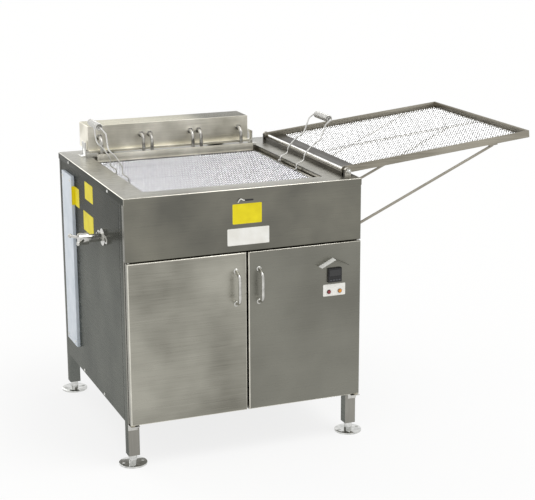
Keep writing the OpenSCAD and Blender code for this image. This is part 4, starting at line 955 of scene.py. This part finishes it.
@dataclass
class Doors:
    """Two door pans with bow pulls, and the controls on the right one."""

    bench: Bench
    edge_round: float = 4.4 * MM
    pan_edge: float = 60 * MM
    # Share of a face's normal along y, from front to rear, on a door's edge with its painted highlight
    edge_slope: tuple[float, float] = (-0.97, -0.15)
    hood_round: float = 0.4 * MM
    pull_r: float = 5.5 * MM
    pull_reach: float = 34 * MM
    pull_half: float = 54.5 * MM
    pull_bend: float = 16 * MM
    # Share of the reach by which a pull's legs lean in
    pull_lean: float = 1 / 3
    # Rings of a pull's foot and of a lamp's bezel: radius and distance from the door, in millimetres
    foot_rings: tuple[tuple[float, float], ...] = ((8.5, 0), (8.5, 1.4), (7.8, 2.2), (6.1, 2.6), (5.5, 3.4))
    bezel_rings: tuple[tuple[float, float], ...] = ((7.6, 0), (7.6, 2.2), (7.1, 3), (7.2, 3.3), (6.5, 2.4))
    # A lamp's lens: its radius, where it starts, where its dome starts and how far it bulges
    lens_r: float = 6.7 * MM
    lens_back: float = 0.4 * MM
    dome_back: float = 3 * MM
    dome_rise: float = 4.2 * MM
    dome_turns: tuple[int, ...] = (0, 20, 40, 58, 72, 84)
    film_w: float = 79 * MM
    film_h: float = 40 * MM
    film_up: float = 5 * MM
    case_round: float = 1.0 * MM
    case_edge: float = 5 * MM
    window_share: float = 0.82
    window_h: float = 21.4 * MM
    window_up: float = 8 * MM
    window_in: float = 0.5 * MM
    window_corner: float = 1.5 * MM
    keys: int = 4
    key_round: float = 0.6 * MM
    key_edge: float = 1 * MM

    def build(self) -> None:
        """Rounds the pans and builds pulls, lamps, controller and hood."""
        # The left door takes the lighter door steel as painted light, the right door the darker one as
        # painted shade
        for node, pull, body, coat in (("left_door", "left_pull", "left_leaf", LIT_DOOR_STEEL),
                                       ("right_door", "right_pull", "right_leaf", SHADED_DOOR_STEEL)):
            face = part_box(node)[0][1]

            def skin(a: Vector, b: Vector, front: float = face) -> bool:
                """Picks edges of the door's face and its upright corners."""
                return min(a.y, b.y) < front + SAME_PLACE

            pan = self.bench.soften(node, coat, "stainless", self.edge_round, segments=5,
                                    shortest=self.pan_edge, where=skin)
            # Painted highlight along the door's rounded edges
            self.bench.paint(pan, HIGHLIGHT_EDGE_STEEL,
                             lambda way, spot: self.edge_slope[0] < way.y < self.edge_slope[1])
            self.pull(pull, body, face)
        self.lamp("lamp_red", RED_LENS, "red_lens")
        self.lamp("lamp_amber", AMBER_LENS, "amber_lens")
        self.controller()
        # The hood is white as painted light, and its right half takes the right door's darker steel as
        # painted shade
        hood = self.bench.soften("hood", FROSTED_ZINC_AND_LIT_WHITE, "bright_steel", self.hood_round, segments=2)
        low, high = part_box("hood")
        self.bench.paint(hood, SHADED_DOOR_STEEL, lambda way, spot: spot.x > (low[0] + high[0]) / 2)
        self.lamp_plate()
        self.bench.dress(CASE_UPRIGHT, "wiring_box")

    def pull(self, node: str, body: str, face: float) -> None:
        """Bends one bow pull with its two feet.

        Args:
            node: The pull's CAD node.
            body: The door's body.
            face: Place of the door's face.
        """
        low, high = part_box(node)
        x, mid = (low[0] + high[0]) / 2, (low[2] + high[2]) / 2
        bar = face - self.pull_reach
        slant = self.pull_half - self.pull_reach * self.pull_lean
        corners = [Vector((x, face, mid - self.pull_half)), Vector((x, bar, mid - slant)),
                   Vector((x, bar, mid + slant)), Vector((x, face, mid + self.pull_half))]
        bow = wire_piece(node + "_bow", [filleted(corners, self.pull_bend)], self.pull_r, rounds=5)
        self.bench.place(bow, body, POLISHED, "bright_steel", node)
        rings = [(radius * MM, front * MM) for radius, front in self.foot_rings]
        for name, side in (("low", -1), ("high", 1)):
            foot = turned_piece(f"{node}_foot_{name}", rings, (x, face, mid + side * self.pull_half))
            self.bench.place(foot, body, POLISHED, "bright_steel")

    def lamp_plate(self) -> None:
        """Sets the bare white film behind the lamps."""
        red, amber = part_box("lamp_red"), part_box("lamp_amber")
        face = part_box("right_door")[0][1]
        middle = ((red[0][0] + amber[1][0]) / 2, face, (red[0][2] + red[1][2]) / 2 + self.film_up)
        plate = blank_plate("lamp_white_plate", middle, self.film_w, self.film_h, Face.FRONT)
        self.bench.place(plate, "right_leaf", WHITE_FILM, "cream_plastic")

    def lamp(self, node: str, coat: Finish, slot: str) -> None:
        """Turns an indicator lamp: a domed lens in a bright ring.

        Args:
            node: The lamp's CAD node.
            coat: The lens's finish.
            slot: The record's slot of the lens.
        """
        low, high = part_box(node)
        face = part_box("right_door")[0][1]
        centre = ((low[0] + high[0]) / 2, face, (low[2] + high[2]) / 2)
        dome = [(self.lens_r, self.lens_back)]
        dome += [(self.lens_r * math.cos(turn), self.dome_back + self.dome_rise * math.sin(turn))
                 for turn in map(math.radians, self.dome_turns)]
        lens = turned_piece(node + "_lens", dome, centre, segments=32)
        self.bench.place(lens, "right_leaf", coat, slot, node)
        rings = [(radius * MM, front * MM) for radius, front in self.bezel_rings]
        ring = turned_piece(node + "_ring", rings, centre)
        self.bench.place(ring, "right_leaf", POLISHED, "bright_steel")

    def controller(self) -> None:
        """Rounds the controller's case and keys and sets its dark window."""
        self.bench.soften("controller", BLACK_PLASTIC, "black_plastic", self.case_round,
                          shortest=self.case_edge)
        low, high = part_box("controller")
        middle = ((low[0] + high[0]) / 2, low[1] + self.window_in, (low[2] + high[2]) / 2 + self.window_up)
        window = blank_plate("controller_window", middle, (high[0] - low[0]) * self.window_share,
                             self.window_h, Face.FRONT, corner=self.window_corner)
        self.bench.place(window, "right_leaf", WINDOW, "black_plastic")
        for k in range(1, self.keys + 1):
            self.bench.soften(f"key_{k}", KEY_RUBBER, "key_plastic", self.key_round, shortest=self.key_edge)


@dataclass
class HeatingHead:
    """Swing-up head with its elements and the rack below."""

    bench: Bench
    cover_round: float = 2.4 * MM
    cover_edge: float = 40 * MM
    base_round: float = 0.7 * MM
    base_edge: float = 30 * MM

    def build(self) -> None:
        """Rounds the head's cover and dresses the rest."""
        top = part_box("head_cover")[1][2]

        def outer(a: Vector, b: Vector) -> bool:
            """Picks the cover's outer edges, not its open lower rim."""
            return max(a.z, b.z) > top - SAME_PLACE

        cover = self.bench.soften("head_cover", HEAD_STEEL, "stainless", self.cover_round, segments=4,
                                  shortest=self.cover_edge, where=outer)
        # Painted light on the cover's top faces, shaded darker towards the right
        self.bench.paint(cover, LIT_HEAD_TOP_STEEL, lambda way, spot: way.z > FACING)
        self.bench.soften("head_base", HEAD_STEEL, "stainless", self.base_round, segments=2,
                          shortest=self.base_edge)
        self.bench.dress(TUBE, "element_left", "element_centre", "element_right")
        self.bench.dress(POLISHED, "element_nuts", "screen_rack", "head_hinge_upper", "head_hinge_lower")


@dataclass
class WovenCloth:
    """Wire cloth woven one over, one under, with a pitch coarser than real so that it shows."""

    bench: Bench
    coat: Finish
    sag: float
    lift: float
    pitch: float = 10.0 * MM
    wire_r: float = 0.75 * MM
    wave: float = 0.6 * MM
    margin: float = 1 * MM

    def weave(self, name: str, low: Point, high: Point, body: str, node: str,
              seat: Callable[[Vector], Vector] = Vector) -> None:
        """Weaves warp and weft over a level box and sets them in place.

        Args:
            name: Start of the pieces' names.
            low: The box's lowest corner.
            high: Its highest corner.
            body: The body that carries the cloth.
            node: The CAD node that it stands for.
            seat: Turns places on the level cloth into final ones, where it doesn't stay level.
        """
        mid = [(a + b) / 2 for a, b in zip(low, high)]
        width, length = (high[k] - low[k] - 2 * self.margin for k in (0, 1))
        for part, (run, over), swap in (("warp", (width, length), False), ("weft", (length, width), True)):
            turns = int(run / self.pitch)
            rows = 2 * int(over / self.pitch / 2)
            start = -turns * self.pitch / 2
            first = -(rows - 1) * self.pitch / 2
            paths = []
            for row in (0, 1):
                sign = (1 if row else -1) * (1 if swap else -1)
                path = [(-run / 2, first + row * self.pitch, 0.0)]
                for k in range(turns + 1):
                    rise = self.wave * sign * (1 if k % 2 else -1)
                    path.append((start + k * self.pitch, first + row * self.pitch, rise))
                path.append((run / 2, first + row * self.pitch, 0.0))
                paths.append(path)
            piece = wire_piece(f"{name}_{part}", paths, self.wire_r, rounds=0)
            apply_modifier(piece, "ARRAY", count=rows // 2, use_relative_offset=False,
                           use_constant_offset=True, constant_offset_displace=(0.0, 2 * self.pitch, 0.0))
            for vert in piece.data.vertices:
                u, v, h = vert.co
                u, v = (v, u) if swap else (u, v)
                bow = max(0.0, 1 - (2 * u / width) ** 2) * max(0.0, 1 - (2 * v / length) ** 2)
                vert.co = seat(Vector((mid[0] + u, mid[1] + v, mid[2] + self.lift + h - self.sag * bow)))
            if swap:
                edit(piece)
                bpy.ops.mesh.select_all(action="SELECT")
                bpy.ops.mesh.flip_normals()
                leave_edit(piece)
            smooth_shade(piece, CLOTH_CREASE)
            nodes = (node,) if part == "warp" else ()
            self.bench.place(piece, body, self.coat, "wire", *nodes)


@dataclass
class FryScreen:
    """Lift-out screen with its woven cloth, two wire bails and coil grips."""

    bench: Bench
    sag: float = 1.6 * MM
    lift: float = -0.3 * MM
    frame_round: float = 0.6 * MM
    frame_edge: float = 100 * MM
    guard_t: float = 2 * MM
    bail_r: float = 2.5 * MM
    pivots: tuple[Point, Point] = ((-306 * MM, -84 * MM, 876 * MM), (282 * MM, -84 * MM, 876 * MM))
    leans: tuple[float, float] = (25.0, 39.0)
    half_w: float = 72 * MM
    height: float = 204 * MM
    # Kinks of a bail's legs: shares of its height, and of the kink's depth to either side
    kink: float = 8.6 * MM
    along_shares: tuple[float, ...] = (0, 0.0735, 0.1814, 0.2824, 0.480, 0.632, 0.799, 0.882)
    across_shares: tuple[float, ...] = (0, -0.81, 0.38, -0.58, -0.08, 1, -0.12, -0.70)
    leg_steps: int = 7
    arch_bend: float = 12 * MM
    pin_l: float = 10.8 * MM
    # A grip's coil winds in at its ends, until its middle stands this share of its radius off the bail
    grip_r: float = 10.4 * MM
    grip_wire: float = 1.6 * MM
    grip_l: float = 108 * MM
    curls: int = 20
    curl_steps: int = 14
    lead_steps: int = 10
    standoff: float = 0.6

    def build(self) -> None:
        """Weaves the cloth and bends bails and grips."""
        low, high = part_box("screen_net")
        cloth = WovenCloth(self.bench, SCREEN_CLOTH, self.sag, self.lift)
        cloth.weave("screen_cloth", low, high, "fry_screen", "screen_net")
        frame = self.bench.soften("screen_frame", WIRE_STEEL, "wire", self.frame_round,
                                  shortest=self.frame_edge)
        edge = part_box("screen_frame")[1][1] - self.guard_t
        self.bench.paint(frame, HEAD_STEEL, lambda way, spot: spot.y > edge)
        for side, pivot, lean, hand in zip((-1, 1), self.pivots, self.leans, ("left", "right")):
            self.bail(side, Vector(pivot), math.radians(lean) * side, hand)

    def bail(self, side: int, pivot: Vector, turn: float, hand: str) -> None:
        """Bends one bail and winds its grip.

        Args:
            side: -1 for the left bail, 1 for the right one.
            pivot: Middle between its pins.
            turn: Its lean about the pins' axis.
            hand: Start of the pieces' names.
        """
        lean = Matrix.Rotation(turn, 3, "Y")

        def spot(across: float, y: float, along: float) -> Vector:
            """Turns a place on the upright bail into one on the leaning bail."""
            return pivot + lean @ Vector((across, y, along))

        legs = [[spot(side * self.kink * c, s * self.half_w, self.height * a)
                 for a, c in zip(self.along_shares, self.across_shares)] for s in (-1, 1)]
        top = [spot(0, s * self.half_w, self.height) for s in (-1, 1)]
        pins = [tuple(spot(0, s * (self.half_w + self.pin_l), 0)) for s in (-1, 1)]
        start, end = eased(legs[0], self.leg_steps), eased(legs[1], self.leg_steps)[::-1]
        arch = filleted([Vector(start[-1]), *top, Vector(end[0])], self.arch_bend)
        path = [pins[0], *start, *arch[1:-1], *end, pins[1]]
        bow = wire_piece(hand + "_bail_wire", [path], self.bail_r, rounds=4)
        self.bench.place(bow, hand + "_handle", WIRE_STEEL, "wire", hand + "_bail")
        coil: list[Point] = []
        steps, lead = self.curl_steps * self.curls, self.lead_steps
        hug = self.bail_r + self.grip_wire * self.standoff
        for k in range(-lead, steps + lead + 1):
            share = k / steps
            spin = 2 * math.pi * self.curls * share
            reach = hug + (self.grip_r - hug) * min(1.0, (k + lead) / lead, (steps + lead - k) / lead)
            y = (min(max(share, 0.0), 1.0) - 0.5) * (self.grip_l - 2 * self.grip_wire)
            coil.append(tuple(spot(reach * math.cos(spin), y, self.height + reach * math.sin(spin))))
        grip = wire_piece(hand + "_coil_grip", [coil], self.grip_wire)
        self.bench.place(grip, hand + "_handle", GRIP_WIRE, "wire", hand + "_grip")


@dataclass
class DrainTray:
    """Hinged tray with its woven cloth over a drip sheet, and its braces."""

    bench: Bench
    hinge_x: float = 364 * MM
    hinge_z: float = 906.5 * MM
    tilt: float = 5.8
    sag: float = 1.5 * MM
    lift: float = 0.4 * MM
    frame_round: float = 0.8 * MM
    frame_edge: float = 30 * MM

    def build(self) -> None:
        """Weaves the tray's cloth and dresses the rest."""
        lean = Matrix.Rotation(-math.radians(self.tilt), 3, "Y")
        back = lean.inverted()
        hinge = Vector((self.hinge_x, 0.0, self.hinge_z))
        spots = [back @ (v.co - hinge) for v in self.bench.frame["nodes"]["tray_net"].data.vertices]
        low, high = ([pick(s[k] for s in spots) for k in range(3)] for pick in (min, max))

        def seat(spot: Vector) -> Vector:
            """Turns a level place onto the tray's slope."""
            return hinge + lean @ spot

        cloth = WovenCloth(self.bench, TRAY_CLOTH, self.sag, self.lift)
        cloth.weave("tray_cloth", low, high, "drain_tray", "tray_net", seat)
        self.bench.soften("tray_frame", TRAY_STEEL, "stainless", self.frame_round, segments=2,
                          shortest=self.frame_edge)
        # Painted shade: the drip sheet under the cloth is dark
        self.bench.dress(SHADED_DRIP_STEEL, "tray_drip_sheet")
        self.bench.dress(ROD_STEEL, "tray_braces")
        self.bench.dress(WIRE_STEEL, "tray_hinge_rod")


@dataclass
class SmallFittings:
    """The remaining nodes, which keep their shapes and get a finish by what they are made of."""

    bench: Bench
    plastic: tuple[str, ...] = ("contactors", "door_catches", "high_limit_thermostat", "cable_gland",
                                "terminal_blocks")

    def build(self) -> None:
        """Dresses each node that nothing above has dressed."""
        for node, part in self.bench.frame["nodes"].items():
            if not any(coat and coat.name in self.bench.made for coat in part.data.materials):
                self.bench.dress(self.coat_for(node), node)

    def coat_for(self, node: str) -> Finish:
        """Names a node's finish by what it is made of.

        Args:
            node: The node's name.

        Returns:
            Its finish.
        """
        if node in self.plastic:
            return BLACK_PLASTIC
        return {"door_washers": CREAM_PLASTIC, "panel_screws": FROSTED_ZINC_AND_LIT_WHITE}.get(node, POLISHED)


@dataclass
class Studio:
    """Pale floor, soft light and the camera."""

    floor_side: float = 60.0
    floor_tone: str = "#f6f6f4"
    floor_glow: float = 0.8
    sky: float = 0.75
    sun: float = 0.95
    sun_spread: float = 32.0
    sun_way: Point = (-0.34, 0.3, -0.89)
    rear_sun: float = 0.45
    rear_spread: float = 40.0
    rear_way: Point = (0.25, -0.9, -0.45)
    eye: Point = (-1.5949, -4.6289, 1.8737)
    azimuth: float = 21.604
    pitch: float = 14.80
    roll: float = -0.239
    lens: float = 98.482
    sensor: float = 36.0
    farthest: float = 200.0

    def build(self) -> None:
        """Sets floor, light and camera."""
        self.floor()
        self.light()
        self.camera()
        bpy.context.scene.view_settings.view_transform = "Standard"

    def floor(self) -> None:
        """Lays a wide pale floor that takes the shadow."""
        bpy.ops.object.select_all(action="DESELECT")
        bpy.ops.mesh.primitive_plane_add(size=self.floor_side)
        ground = bpy.context.view_layer.objects.active
        ground.name = "studio_floor"
        material, tree, shader = blank_material("matt_white_paper")
        shader.inputs["Base Color"].default_value = linear(self.floor_tone)
        shader.inputs["Roughness"].default_value = 0.9
        shader.inputs["Specular IOR Level"].default_value = 0.1
        seen = self.seen_rays(tree)
        share = add_node(tree, "ShaderNodeMath", {"operation": "MULTIPLY", 1: self.floor_glow}, {0: seen})
        white = add_node(tree, "ShaderNodeEmission", {"Color": WHITE, "Strength": 1.0})
        both = add_node(tree, "ShaderNodeMixShader", None,
                        {0: share.outputs[0], 1: shader.outputs[0], 2: white.outputs[0]})
        end = next(n for n in tree.nodes if n.bl_idname == "ShaderNodeOutputMaterial")
        tree.links.new(both.outputs[0], end.inputs["Surface"])
        ground.data.materials.append(material)

    def seen_rays(self, tree: bpy.types.NodeTree) -> bpy.types.NodeSocket:
        """Tells the rays that show the background: straight, mirrored or through glass.

        Args:
            tree: The tree of the floor or the world.

        Returns:
            A socket that gives 1 for such rays and 0 for the others.
        """
        path = add_node(tree, "ShaderNodeLightPath").outputs
        seen = path["Is Camera Ray"]
        for ray in ("Is Glossy Ray", "Is Transmission Ray"):
            seen = add_node(tree, "ShaderNodeMath", {"operation": "MAXIMUM"},
                            {0: seen, 1: path[ray]}).outputs[0]
        return seen

    def light(self) -> None:
        """Sets an even sky, a soft sun from the front right and a weaker one from behind."""
        world = bpy.data.worlds.new("soft_sky")
        bpy.context.scene.world = world
        world.use_nodes = True
        tree = world.node_tree
        tree.nodes.clear()
        level = add_node(tree, "ShaderNodeMapRange", {"To Min": self.sky, "To Max": 1.0},
                         {"Value": self.seen_rays(tree)})
        sky = add_node(tree, "ShaderNodeBackground", {"Color": WHITE}, {"Strength": level.outputs[0]})
        add_node(tree, "ShaderNodeOutputWorld", None, {"Surface": sky.outputs[0]})
        for name, energy, spread, way in (("front_sun", self.sun, self.sun_spread, self.sun_way),
                                          ("rear_sun", self.rear_sun, self.rear_spread, self.rear_way)):
            lamp = bpy.data.lights.new(name, "SUN")
            lamp.energy = energy
            lamp.angle = math.radians(spread)
            sun = bpy.data.objects.new(name, lamp)
            sun.rotation_euler = Vector(way).to_track_quat("-Z", "Y").to_euler()
            bpy.context.scene.collection.objects.link(sun)

    def camera(self) -> None:
        """Stands the camera at the fitted place."""
        az, el, ro = (math.radians(a) for a in (self.azimuth, self.pitch, self.roll))
        ahead = Vector((math.sin(az) * math.cos(el), math.cos(az) * math.cos(el), -math.sin(el)))
        right = Vector((math.cos(az), -math.sin(az), 0.0))
        up = right.cross(ahead)
        side = right * math.cos(ro) + up * math.sin(ro)
        top = up * math.cos(ro) - right * math.sin(ro)
        data = bpy.data.cameras.new("front_camera")
        data.sensor_fit = "HORIZONTAL"
        data.sensor_width = self.sensor
        data.lens = self.lens
        data.clip_end = self.farthest
        camera = bpy.data.objects.new("front_camera", data)
        camera.matrix_world = Matrix((
            (side.x, top.x, -ahead.x, self.eye[0]), (side.y, top.y, -ahead.y, self.eye[1]),
            (side.z, top.z, -ahead.z, self.eye[2]), (0.0, 0.0, 0.0, 1.0)))
        bpy.context.scene.collection.objects.link(camera)
        bpy.context.scene.camera = camera


def main() -> None:
    """Builds the fryer's looks round the frame."""
    logging.basicConfig(level=logging.INFO)
    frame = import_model()
    bench = Bench(frame)
    Studio().build()
    for assembly in (Cabinet(bench), Doors(bench), HeatingHead(bench), FryScreen(bench), DrainTray(bench),
                     SmallFittings(bench)):
        assembly.build()


if __name__ == "__main__":
    main()
